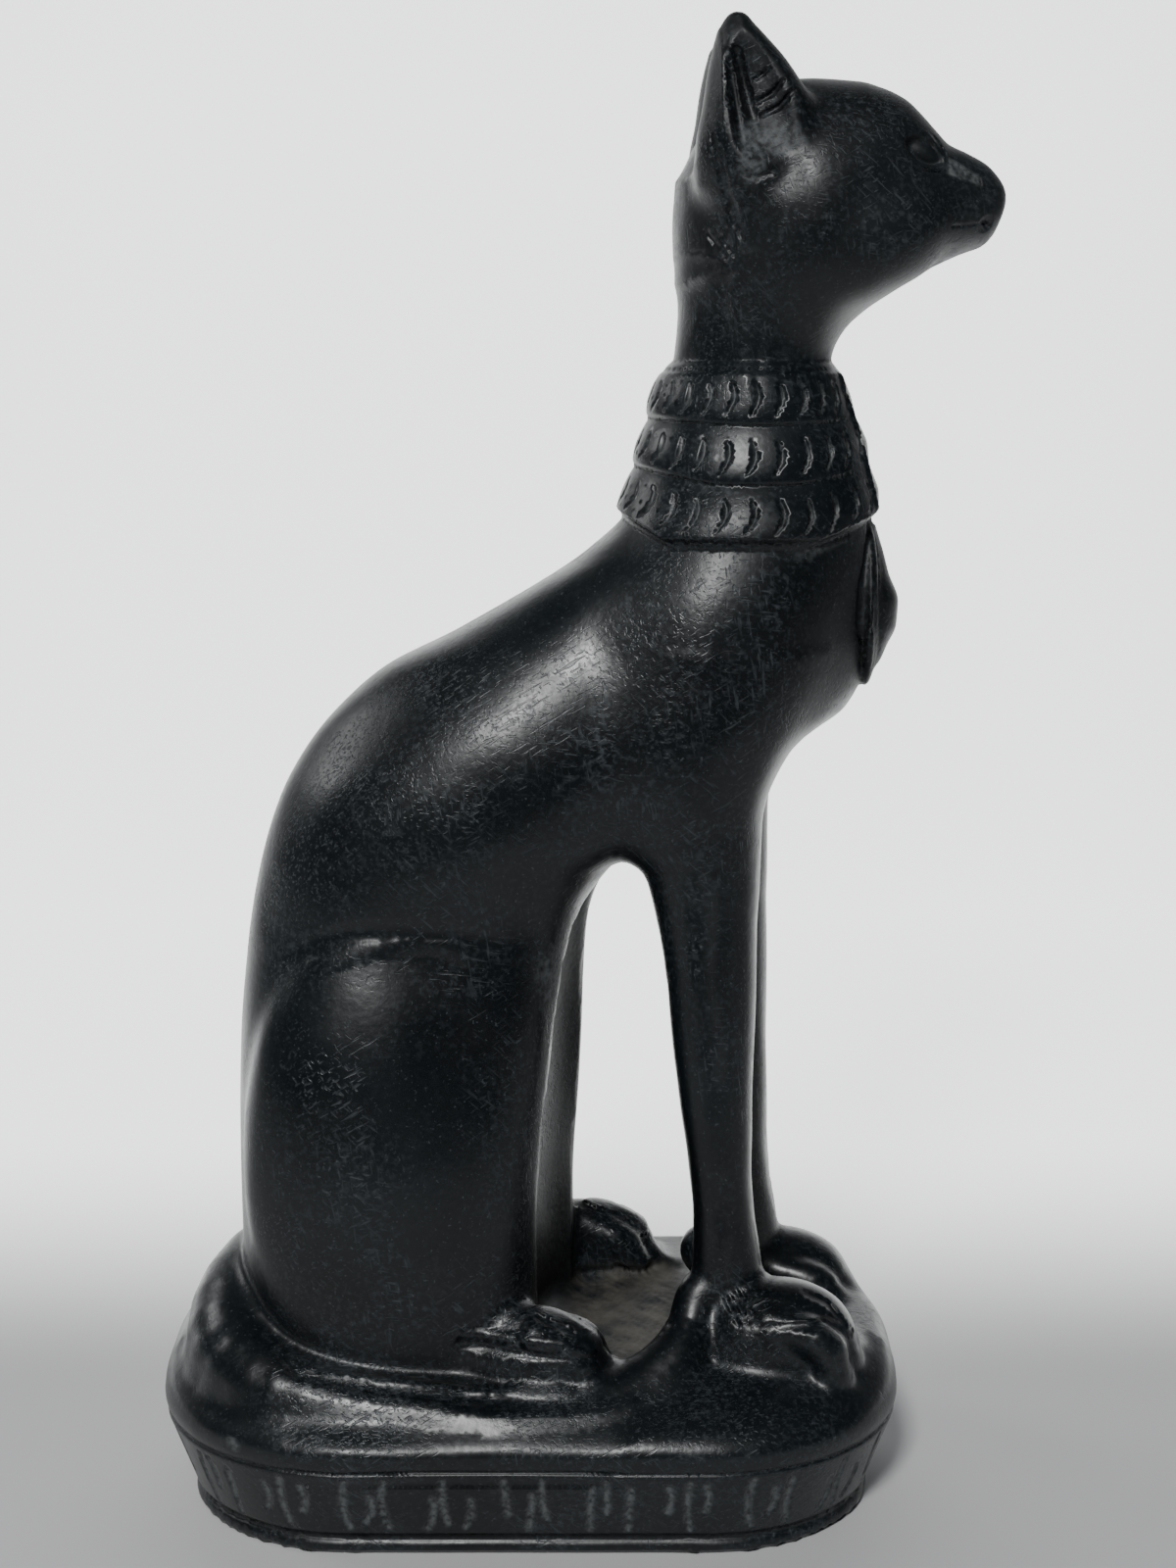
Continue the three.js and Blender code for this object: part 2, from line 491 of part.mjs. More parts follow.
// The closed surface where a distance is zero, as shared vertices and triangles.
function surfaceOf(distance, low, high, step) {
  const counts = low.map((value, i) => Math.ceil((high[i] - value) / step) + 1);
  const [nx, ny, nz] = counts;
  const field = new Float32Array(nx * ny * nz);
  const index = (i, j, k) => i + nx * (j + ny * k);
  const block = 4;
  const reach = block * step * 1.8;
  for (let k = 0; k < nz; k += block) {
    for (let j = 0; j < ny; j += block) {
      for (let i = 0; i < nx; i += block) {
        const centre = [i, j, k].map((n, axis) => low[axis] + (n + block / 2 - 0.5) * step);
        const coarse = distance(...centre);
        const far = Math.abs(coarse) > reach;
        for (let c = k; c < Math.min(k + block, nz); c += 1) {
          for (let b = j; b < Math.min(j + block, ny); b += 1) {
            for (let a = i; a < Math.min(i + block, nx); a += 1) {
              const value = far ? coarse : distance(low[0] + a * step, low[1] + b * step, low[2] + c * step);
              const border = a === 0 || b === 0 || c === 0 || a === nx - 1 || b === ny - 1 || c === nz - 1;
              field[index(a, b, c)] = border ? Math.max(value, 0.5 * step) : value;
            }
          }
        }
      }
    }
  }
  const corners = [[0, 0, 0], [1, 0, 0], [1, 1, 0], [0, 1, 0], [0, 0, 1], [1, 0, 1], [1, 1, 1], [0, 1, 1]];
  const edges = [[0, 1], [1, 2], [3, 2], [0, 3], [4, 5], [5, 6], [7, 6], [4, 7], [0, 4], [1, 5], [2, 6], [3, 7]];
  const positions = [];
  const triangles = [];
  const found = new Map();
  const vertexOn = (i, j, k, edge) => {
    const [p, q] = edges[edge].map((corner) => corners[corner]);
    const axis = p[0] !== q[0] ? 0 : p[1] !== q[1] ? 1 : 2;
    const from = index(i + p[0], j + p[1], k + p[2]);
    const key = from * 3 + axis;
    if (found.has(key)) return found.get(key);
    const a = field[from];
    const b = field[index(i + q[0], j + q[1], k + q[2])];
    const t = Math.min(Math.max(a / (a - b), 0.02), 0.98);
    const place = [i + p[0], j + p[1], k + p[2]];
    place[axis] += t;
    positions.push(low[0] + place[0] * step, low[1] + place[1] * step, low[2] + place[2] * step);
    found.set(key, positions.length / 3 - 1);
    return positions.length / 3 - 1;
  };
  for (let k = 0; k < nz - 1; k += 1) {
    for (let j = 0; j < ny - 1; j += 1) {
      for (let i = 0; i < nx - 1; i += 1) {
        let cell = 0;
        for (let c = 0; c < 8; c += 1) {
          if (field[index(i + corners[c][0], j + corners[c][1], k + corners[c][2])] < 0) cell |= 1 << c;
        }
        if (!edgeTable[cell]) continue;
        for (let n = cell * 16; triTable[n] !== -1; n += 3) {
          triangles.push(vertexOn(i, j, k, triTable[n]));
          triangles.push(vertexOn(i, j, k, triTable[n + 2]));
          triangles.push(vertexOn(i, j, k, triTable[n + 1]));
        }
      }
    }
  }
  return { positions, triangles };
}

// Thins a closed mesh to a number of triangles, joining first the edges whose loss bends the surface least.
function thinned({ positions, triangles }, target) {
  const count = positions.length / 3;
  const point = (i) => new THREE.Vector3(positions[3 * i], positions[3 * i + 1], positions[3 * i + 2]);
  const places = Array.from({ length: count }, (_, i) => point(i));
  const faces = [];
  const around = Array.from({ length: count }, () => new Set());
  const bends = Array.from({ length: count }, () => new Float64Array(10));
  const normal = new THREE.Vector3();
  const edgeA = new THREE.Vector3();
  const edgeB = new THREE.Vector3();
  const normalOf = (a, b, c) => normal.crossVectors(edgeA.subVectors(b, a), edgeB.subVectors(c, a));

  for (let n = 0; n < triangles.length; n += 3) {
    const face = [triangles[n], triangles[n + 1], triangles[n + 2]];
    faces.push(face);
    face.forEach((v) => around[v].add(faces.length - 1));
    normalOf(places[face[0]], places[face[1]], places[face[2]]);
    const area = normal.length();
    if (area < 1e-9) continue;
    normal.divideScalar(area);
    const d = -normal.dot(places[face[0]]);
    const { x, y, z } = normal;
    const plane = [x * x, x * y, x * z, x * d, y * y, y * z, y * d, z * z, z * d, d * d];
    face.forEach((v) => plane.forEach((value, k) => { bends[v][k] += value * area; }));
  }

  const bendAt = (q, p) => q[0] * p.x * p.x + 2 * q[1] * p.x * p.y + 2 * q[2] * p.x * p.z + 2 * q[3] * p.x
    + q[4] * p.y * p.y + 2 * q[5] * p.y * p.z + 2 * q[6] * p.y + q[7] * p.z * p.z + 2 * q[8] * p.z + q[9];

  // the place on an edge's neighbourhood that bends the surface least, and how much it does
  const bestPlace = (a, b) => {
    const q = bends[a].map((value, k) => value + bends[b][k]);
    const middle = new THREE.Vector3().addVectors(places[a], places[b]).multiplyScalar(0.5);
    const c0 = q[4] * q[7] - q[5] * q[5];
    const c1 = q[2] * q[5] - q[1] * q[7];
    const c2 = q[1] * q[5] - q[2] * q[4];
    const det = q[0] * c0 + q[1] * c1 + q[2] * c2;
    let place = middle;
    if (Math.abs(det) > 1e-4 * Math.pow(q[0] + q[4] + q[7], 3)) {
      const c4 = q[0] * q[7] - q[2] * q[2];
      const c5 = q[1] * q[2] - q[0] * q[5];
      const c7 = q[0] * q[4] - q[1] * q[1];
      const solved = new THREE.Vector3(
        -(c0 * q[3] + c1 * q[6] + c2 * q[8]) / det,
        -(c1 * q[3] + c4 * q[6] + c5 * q[8]) / det,
        -(c2 * q[3] + c5 * q[6] + c7 * q[8]) / det,
      );
      if (solved.distanceTo(middle) < 2 * places[a].distanceTo(places[b])) place = solved;
    }
    return { place, cost: Math.max(bendAt(q, place), 0) + 1e-6 * places[a].distanceToSquared(places[b]) };
  };

  const heap = [];
  const age = new Int32Array(count);
  const swap = (i, j) => { [heap[i], heap[j]] = [heap[j], heap[i]]; };
  const push = (entry) => {
    heap.push(entry);
    for (let i = heap.length - 1; i > 0;) {
      const parent = (i - 1) >> 1;
      if (heap[parent].cost <= heap[i].cost) break;
      swap(i, parent);
      i = parent;
    }
  };
  const pop = () => {
    const top = heap[0];
    const end = heap.pop();
    if (heap.length) {
      heap[0] = end;
      for (let i = 0; ;) {
        let least = i;
        for (const child of [2 * i + 1, 2 * i + 2]) {
          if (child < heap.length && heap[child].cost < heap[least].cost) least = child;
        }
        if (least === i) break;
        swap(i, least);
        i = least;
      }
    }
    return top;
  };
  const neighbours = (v) => {
    const found = new Set();
    around[v].forEach((f) => faces[f].forEach((w) => found.add(w)));
    found.delete(v);
    return found;
  };
  const offer = (a, b) => push({ a, b, ageA: age[a], ageB: age[b], ...bestPlace(a, b) });
  for (let v = 0; v < count; v += 1) neighbours(v).forEach((w) => { if (v < w) offer(v, w); });

  // no facet around a joined corner may turn over or fold sharply
  const staysFlat = (moved, other, place) => {
    for (const f of around[moved]) {
      if (faces[f].includes(other)) continue;
      const old = faces[f].map((v) => places[v]);
      const before = normalOf(...old).clone().normalize();
      const after = normalOf(...faces[f].map((v) => (v === moved ? place : places[v]))).clone();
      const size = after.length();
      if (size < 1e-3 || before.dot(after) < 0.35 * size) return false;
    }
    return true;
  };

  let left = faces.length;
  while (left > target && heap.length) {
    const { a, b, ageA, ageB, place } = pop();
    if (age[a] !== ageA || age[b] !== ageB) continue;
    const nearB = neighbours(b);
    const shared = [...neighbours(a)].filter((v) => nearB.has(v));
    if (shared.length !== 2 || !staysFlat(a, b, place) || !staysFlat(b, a, place)) continue;
    places[a] = place;
    bends[b].forEach((value, k) => { bends[a][k] += value; });
    for (const f of around[b]) {
      if (faces[f].includes(a)) {
        faces[f].forEach((v) => around[v].delete(f));
        faces[f] = null;
        left -= 1;
      } else {
        faces[f][faces[f].indexOf(b)] = a;
        around[a].add(f);
      }
    }
    around[b].clear();
    age[a] += 1;
    age[b] += 1;
    neighbours(a).forEach((v) => offer(a, v));
  }

  const renumber = new Map();
  const thin = { positions: [], triangles: [] };
  faces.filter((face) => face).forEach((face) => face.forEach((v) => {
    if (!renumber.has(v)) {
      renumber.set(v, renumber.size);
      thin.positions.push(places[v].x, places[v].y, places[v].z);
    }
    thin.triangles.push(renumber.get(v));
  }));
  return thin;
}

// The plinth's lower block: lip, groove, leaning band and the recess under the cushion, as one lofted body.
function plinthBlock() {
  const profile = [];
  for (let i = 0; i <= 3; i += 1) {
    const angle = (Math.PI / 2) * (i / 3);
    profile.push([LIP_ROUNDING * (1 - Math.cos(angle)), LIP_ROUNDING * (Math.sin(angle) - 1)]);
  }
  profile.push([LIP_HEIGHT, 0]);
  profile.push([LIP_HEIGHT + GROOVE_WIDTH / 2, -GROOVE_DEPTH]);
  profile.push([LIP_HEIGHT + GROOVE_WIDTH, -GROOVE_DEPTH / 3]);
  profile.push([BAND_TOP - GROOVE_WIDTH / 2, BAND_FLARE]);
  profile.push([BAND_TOP, BAND_FLARE - GROOVE_DEPTH]);
  profile.push([BAND_TOP + GROOVE_WIDTH, BAND_FLARE - GROOVE_DEPTH]);
  const ring = [];
  const arcSteps = 8;
  for (let corner = 0; corner < 4; corner += 1) {
    for (let i = 0; i <= arcSteps; i += 1) {
      const angle = (Math.PI / 2) * (corner + i / arcSteps);
      const sx = corner === 0 || corner === 3 ? 1 : -1;
      const sy = corner < 2 ? 1 : -1;
      ring.push({
        x: sx * (PLINTH_LENGTH / 2 - PLINTH_CORNER_RADIUS),
        y: sy * (PLINTH_WIDTH / 2 - PLINTH_CORNER_RADIUS),
        cos: Math.cos(angle),
        sin: Math.sin(angle),
      });
    }
  }
  const positions = [];
  profile.forEach(([z, outward]) => ring.forEach((p) => {
    const radius = PLINTH_CORNER_RADIUS + outward;
    positions.push(p.x + radius * p.cos, p.y + radius * p.sin, z);
  }));
  const n = ring.length;
  const triangles = [];
  for (let row = 0; row < profile.length - 1; row += 1) {
    for (let i = 0; i < n; i += 1) {
      const a = row * n + i;
      const b = row * n + ((i + 1) % n);
      triangles.push(a, b, b + n, a, b + n, a + n);
    }
  }
  const top = (profile.length - 1) * n;
  for (let i = 1; i < n - 1; i += 1) {
    triangles.push(0, i + 1, i);
    triangles.push(top, top + i, top + i + 1);
  }
  return { positions, triangles };
}

// A point of the collar's surface, found by walking out from the neck's middle.
function onCollar(angle, z) {
  const step = new THREE.Vector3(Math.cos(angle), Math.sin(angle), 0);
  const spot = new THREE.Vector3(COLLAR_AXIS * share, 0, z);
  let far = 4 * share;
  for (let i = 0; i < 20; i += 1) far -= catDistance(spot.x + far * step.x, far * step.y, z);
  return spot.addScaledVector(step, far).add(new THREE.Vector3(0, 0, PLINTH_HEIGHT));
}

// One cut of the collar: a bowed groove with a V section that runs back towards its lower end.
function strokeCutter(ring, turn) {
  const sections = 2;
  const outline = [];
  for (let i = 0; i <= sections; i += 1) {
    const down = i / sections;
    const sideways = Math.abs(Math.sin(turn));
    const sag = COLLAR_SAG * sideways * sideways * ((ring + down) / COLLAR_RINGS);
    const z = (COLLAR_TOP - RING_HEIGHT * (ring + 0.22 + 0.62 * down) - sag) * share;
    const runBack = RING_HEIGHT * (STROKE_LEAN * down * down - STROKE_BOW * Math.sin(Math.PI * down));
    const back = Math.sign(Math.sin(turn)) * (runBack / COLLAR_HALF_WIDTH);
    const spot = onCollar(turn + back, z);
    const beside = onCollar(turn + back + 0.05, z).sub(spot).normalize();
    const up = onCollar(turn + back, z + 0.3).sub(spot).normalize();
    const out = beside.clone().cross(up).normalize();
    const taper = 0.45 + 0.55 * Math.sin(Math.PI * (0.15 + 0.7 * down));
    const half = STROKE_WIDTH * RING_HEIGHT * share * taper;
    const depth = STROKE_DEPTH * RING_HEIGHT * share;
    outline.push(spot.clone().addScaledVector(out, -depth * taper));
    outline.push(spot.clone().addScaledVector(out, depth).addScaledVector(beside, half));
    outline.push(spot.clone().addScaledVector(out, depth).addScaledVector(beside, -half));
  }
  const triangles = [0, 2, 1];
  for (let i = 0; i < sections; i += 1) {
    for (let k = 0; k < 3; k += 1) {
      const a = 3 * i + k;
      const b = 3 * i + ((k + 1) % 3);
      triangles.push(a, b, b + 3, a, b + 3, a + 3);
    }
  }
  const end = 3 * sections;
  triangles.push(end, end + 1, end + 2);
  return { positions: outline.flatMap((p) => p.toArray()), triangles };
}

// Joining

const wasm = await Module();
wasm.setup();

const solidOf = ({ positions, triangles }) => new wasm.Manifold(new wasm.Mesh({
  numProp: 3,
  vertProperties: Float32Array.from(positions),
  triVerts: Uint32Array.from(triangles),
}));

const low = [-PLINTH_LENGTH / 2 - CREST_OVERHANG - 4, -PLINTH_WIDTH / 2 - CREST_OVERHANG - 4, BAND_TOP];
const high = [
  Math.max(PLINTH_LENGTH / 2 + CREST_OVERHANG, 35.4 * share) + 4,
  PLINTH_WIDTH / 2 + CREST_OVERHANG + 4,
  PLINTH_HEIGHT + FIGURE_HEIGHT + 3,
];
const carved = solidOf(thinned(surfaceOf(figureDistance, low, high, LATTICE), FIGURE_FACETS));
const block = solidOf(plinthBlock());
let whole = carved.add(block);
for (let ring = 0; ring < COLLAR_RINGS; ring += 1) {
  for (let i = 0; i < COLLAR_STROKES; i += 1) {
    const uneven = 0.16 * Math.sin(i * 12.9 + ring * 5.3);
    const turn = (2 * Math.PI * (i + 0.5 + uneven)) / COLLAR_STROKES;
    const onThroat = Math.cos(turn) > 0 && COLLAR_HALF_WIDTH * Math.abs(Math.sin(turn)) < THROAT_HALF;
    if (!onThroat) whole = whole.subtract(solidOf(strokeCutter(ring, turn)));
  }
}
const { vertProperties, triVerts } = whole.getMesh();

const geometry = new THREE.BufferGeometry();
geometry.setAttribute('position', new THREE.BufferAttribute(Float32Array.from(vertProperties), 3));
geometry.setIndex(new THREE.BufferAttribute(Uint32Array.from(triVerts), 1));
geometry.computeVertexNormals();
const cat = new THREE.Mesh(geometry, new THREE.MeshStandardMaterial(STONE));
cat.name = 'bastet_cat_figure';
const figure = new THREE.Group();
figure.add(cat);

export default figure;
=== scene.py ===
"""A seated cat in dark soapstone on a low rounded plinth, carved from one block.

The fine surface follows the same forms as the solid: lofts, ellipsoids and limbs of known distance
that flow into each other. The plinth is worked out in millimetres above its own underside, and the
cat in shares, a hundredth of its height, above the plinth's top. The surface is found on a lattice,
refined where the carving is fine, and dressed with cuts, marks, dust and polish.
"""

from __future__ import annotations

import logging
import math
from dataclasses import dataclass, field
from enum import Enum
from typing import Callable, Sequence

import bpy
import numpy as np
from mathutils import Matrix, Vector

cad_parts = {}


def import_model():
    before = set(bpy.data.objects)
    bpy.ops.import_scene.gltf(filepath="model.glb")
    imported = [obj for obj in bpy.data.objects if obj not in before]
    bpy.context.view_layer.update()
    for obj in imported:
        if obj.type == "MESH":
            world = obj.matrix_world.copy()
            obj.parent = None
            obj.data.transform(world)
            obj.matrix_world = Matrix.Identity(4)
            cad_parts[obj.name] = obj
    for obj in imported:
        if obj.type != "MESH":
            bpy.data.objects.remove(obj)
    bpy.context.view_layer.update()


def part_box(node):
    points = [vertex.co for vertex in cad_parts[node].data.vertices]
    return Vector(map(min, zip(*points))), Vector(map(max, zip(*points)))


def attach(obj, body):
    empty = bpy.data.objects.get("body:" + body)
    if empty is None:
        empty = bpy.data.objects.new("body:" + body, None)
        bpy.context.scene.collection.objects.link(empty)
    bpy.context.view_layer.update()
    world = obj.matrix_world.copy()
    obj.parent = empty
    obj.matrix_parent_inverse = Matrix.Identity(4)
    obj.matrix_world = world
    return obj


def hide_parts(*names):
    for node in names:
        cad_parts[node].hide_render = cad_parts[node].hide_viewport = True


log = logging.getLogger("bastet_cat")

Array = np.ndarray
Distance = Callable[[Array, Array, Array], Array]
Row = Sequence[float]
Socket = bpy.types.NodeSocket
Colour = tuple[float, float, float]

NODE = "bastet_cat_figure"
MILLIMETRE = 0.001
EAR_TIP = 99.35
FAR = 200.0


def flow_together(a: Array, b: Array, radius: float) -> Array:
    """Join two forms with a soft fillet.

    Args:
        a: Distances to the first form.
        b: Distances to the second form.
        radius: How far apart the two distances still feel each other.

    Returns:
        Distances to the joined form.
    """
    near = np.maximum(radius - np.abs(a - b), 0.0) / radius
    return np.minimum(a, b) - near * near * radius * 0.25


def carve_out(a: Array, tool: Array, radius: float) -> Array:
    """Hollow a form with another, leaving a soft edge.

    Args:
        a: Distances to the form.
        tool: Distances to what is taken away.
        radius: Softness of the edge.

    Returns:
        Distances to what is left.
    """
    return -flow_together(-a, tool, radius)


def ramp(value: Array, start: float, end: float) -> Array:
    """Rise smoothly from 0 at start to 1 at end."""
    t = np.clip((value - start) / (end - start), 0.0, 1.0)
    return t * t * (3.0 - 2.0 * t)


def hash_wave(seed: Array | float) -> Array | float:
    """Give an even spread of values from -1 to 1 that is the same each run."""
    return np.sin(np.asarray(seed) * 12.9898 + 4.1)


def spot(x: Array, z: Array, middle: Row, radii: Row,
         outer: float = 1.3, inner: float = 0.4) -> Array:
    """Mark an oval spot on the side of the figure.

    Args:
        x: Shares ahead of the origin.
        z: Shares above the plinth's top.
        middle: The spot's middle, ahead and up.
        radii: Its half lengths.
        outer: Where it fades out, as a share of its half lengths.
        inner: Where it is full.

    Returns:
        1 in the spot, falling to 0 outside it.
    """
    return ramp(-np.hypot((x - middle[0]) / radii[0], (z - middle[1]) / radii[1]), -outer, -inner)


class Curve:
    """A smooth curve of one variable through chosen points, without overshoot, level past its ends."""

    SAMPLE_STEP = 0.1

    def __init__(self, points: Sequence[Row]) -> None:
        """Work the curve out once, closely spaced, from pairs of place and value."""
        at, value = np.array(points, float).T
        self.places = np.arange(at[0], at[-1] + self.SAMPLE_STEP, self.SAMPLE_STEP)
        self.values = self._through(at, value, np.minimum(self.places, at[-1]))
        self.slopes = np.gradient(self.values, self.places)

    @staticmethod
    def _through(at: Array, value: Array, t: Array) -> Array:
        """Interpolate with slopes that never overshoot.

        Args:
            at: Places of the chosen points.
            value: Their values.
            t: Places that are asked for.

        Returns:
            The values there.
        """
        slopes = np.diff(value) / np.diff(at)
        slope = np.zeros(len(at))
        slope[0], slope[-1] = slopes[0], slopes[-1]
        before, after = slopes[:-1], slopes[1:]
        same = before * after > 0
        slope[1:-1][same] = 2 * before[same] * after[same] / (before + after)[same]
        i = np.clip(np.searchsorted(at, t, side="left"), 1, len(at) - 1)
        span = at[i] - at[i - 1]
        u = np.clip((t - at[i - 1]) / span, 0.0, 1.0)
        rise = value[i] - value[i - 1]
        a = slope[i - 1] * span - rise
        b = rise - slope[i] * span
        return value[i - 1] + rise * u + u * (1 - u) * ((1 - u) * a + u * b)

    def at(self, t: Array) -> Array:
        """Give the curve's value at each place."""
        return np.interp(t, self.places, self.values)

    def slope(self, t: Array) -> Array:
        """Give the curve's slope at each place."""
        return np.interp(t, self.places, self.slopes)


class Axis(Enum):
    """The way a loft's sections are stacked."""

    UPWARD = "z"
    FORWARD = "x"


class Loft:
    """Flat rounded sections stacked along an axis.

    Every section reaches from rear to fore, is widest at its keel and is half as wide as half.
    Fullness 2, which a row may leave out, is an ellipse, and more is boxier.
    """

    STEEPEST = 0.3

    def __init__(self, stations: Sequence[Row], axis: Axis = Axis.UPWARD) -> None:
        """Fair a curve through each column of the stations.

        Args:
            stations: Rows of place, rear, fore, keel, half width and two fullnesses.
            axis: The way they are stacked.
        """
        rows = np.array([(*row, 2.0, 2.0)[:7] for row in stations])
        curves = [Curve(rows[:, [0, column]]) for column in range(1, 7)]
        self.rear, self.fore, self.keel, self.half, self.rear_fullness, self.fore_fullness = curves
        self.low, self.high = rows[0, 0], rows[-1, 0]
        self.axis = axis

    def distance(self, x: Array, y: Array, z: Array) -> Array:
        """Measure how far points are from the loft, negative inside."""
        along, across = (x, z) if self.axis is Axis.FORWARD else (z, x)
        rear, fore, keel, half = (c.at(along) for c in (self.rear, self.fore, self.keel, self.half))
        ahead = across > keel
        keel_slope, side = self.keel.slope(along), np.where(ahead, 1.0, -1.0)
        reach = np.where(ahead, fore - keel, keel - rear)
        edge_slope = np.where(ahead, self.fore.slope(along), self.rear.slope(along))
        reach_slope = side * (edge_slope - keel_slope)
        full = np.where(ahead, self.fore_fullness.at(along), self.rear_fullness.at(along))
        u = np.abs(across - keel) / reach
        v = np.abs(y) / half
        size = (u**full + v**full) ** (1 / full) + 1e-6
        by_u = (u / size) ** (full - 1)
        by_v = (v / size) ** (full - 1)
        rise = by_u * (-side * keel_slope - u * reach_slope) / reach
        rise = rise - by_v * v * self.half.slope(along) / half
        steepness = np.sqrt((by_u / reach) ** 2 + (by_v / half) ** 2 + rise**2)
        section = (size - 1) / np.maximum(steepness, 1e-4)
        beside = self.STEEPEST * np.maximum(np.abs(across - keel) - reach, np.abs(y) - half)
        return np.maximum.reduce([section, beside, self.low - along, along - self.high])


class Ellipsoid:
    """An ellipsoid, tilted about Y, and if wanted turned about Z."""

    def __init__(self, centre: Row, radii: Row, tilt: float = 0.0, turn: float = 0.0) -> None:
        """Place the ellipsoid.

        Args:
            centre: Its middle.
            radii: Its half lengths.
            tilt: Degrees about Y.
            turn: Degrees about Z.
        """
        self.centre = centre
        self.radii = radii
        self.tilt = (math.cos(math.radians(tilt)), math.sin(math.radians(tilt)))
        self.turn = (math.cos(math.radians(turn)), math.sin(math.radians(turn)))

    def distance(self, x: Array, y: Array, z: Array) -> Array:
        """Measure how far points are from the ellipsoid, negative inside."""
        dx, dy, dz = x - self.centre[0], y - self.centre[1], z - self.centre[2]
        tx = dx * self.turn[0] + dy * self.turn[1]
        ty = dy * self.turn[0] - dx * self.turn[1]
        a = (tx * self.tilt[0] + dz * self.tilt[1]) / self.radii[0]
        b = ty / self.radii[1]
        c = (dz * self.tilt[0] - tx * self.tilt[1]) / self.radii[2]
        size = np.sqrt(a * a + b * b + c * c)
        slope = np.sqrt((a / self.radii[0]) ** 2 + (b / self.radii[1]) ** 2 + (c / self.radii[2]) ** 2)
        return (size - 1) / np.maximum(slope / np.maximum(size, 1e-6), 1e-4)


class Limb:
    """A rounded limb along a smooth curve."""

    CLEAR_OF = 4.0

    def __init__(self, points: Sequence[Row], steps: int | None = None) -> None:
        """Fair the limb's middle line and its girth.

        Args:
            points: Rows of x, y, z and radius.
            steps: Straight stretches that the curve is made of.
        """
        steps = steps or len(points) * 3
        line = self._fair(np.array([p[:3] for p in points], float), steps)
        girth = Curve([(i, p[3]) for i, p in enumerate(points)])
        radii = girth.at(np.linspace(0, len(points) - 1, steps + 1))
        self.points = np.column_stack([line, radii])
        self.low = (self.points[:, :3] - self.points[:, 3:]).min(0)
        self.high = (self.points[:, :3] + self.points[:, 3:]).max(0)

    @staticmethod
    def _fair(points: Array, steps: int) -> Array:
        """Run a centripetal curve through the points.

        Args:
            points: The chosen points.
            steps: Stretches to cut it into.

        Returns:
            Evenly spread points along it.
        """
        padded = np.vstack([2 * points[0] - points[1], points, 2 * points[-1] - points[-2]])
        spots = []
        for t in np.linspace(0, len(points) - 1, steps + 1):
            i = min(int(t), len(points) - 2)
            u = t - i
            p = padded[i : i + 4]
            gaps = np.maximum(np.sqrt(np.linalg.norm(np.diff(p, axis=0), axis=1)), 1e-4)
            start = (p[1] - p[0]) / gaps[0] - (p[2] - p[0]) / (gaps[0] + gaps[1]) + (p[2] - p[1]) / gaps[1]
            end = (p[2] - p[1]) / gaps[1] - (p[3] - p[1]) / (gaps[1] + gaps[2]) + (p[3] - p[2]) / gaps[2]
            start, end = start * gaps[1], end * gaps[1]
            spots.append(
                p[1]
                + start * u
                + (-3 * p[1] + 3 * p[2] - 2 * start - end) * u**2
                + (2 * p[1] - 2 * p[2] + start + end) * u**3
            )
        return np.array(spots)

    def distance(self, x: Array, y: Array, z: Array) -> Array:
        """Measure how far points are from the limb, negative inside."""
        points = np.stack([x, y, z], axis=-1)
        outside = np.maximum(np.maximum(self.low - points, points - self.high), 0.0)
        best = np.linalg.norm(outside, axis=-1)
        close = best <= self.CLEAR_OF
        near = points[close]
        found = np.full(len(near), np.inf)
        for start, end in zip(self.points[:-1], self.points[1:]):
            along = end[:3] - start[:3]
            offset = near - start[:3]
            t = np.clip(offset @ along / (along @ along), 0.0, 1.0)
            gap = np.linalg.norm(offset - t[:, None] * along, axis=1)
            found = np.minimum(found, gap - (start[3] + (end[3] - start[3]) * t))
        best[close] = found
        return best


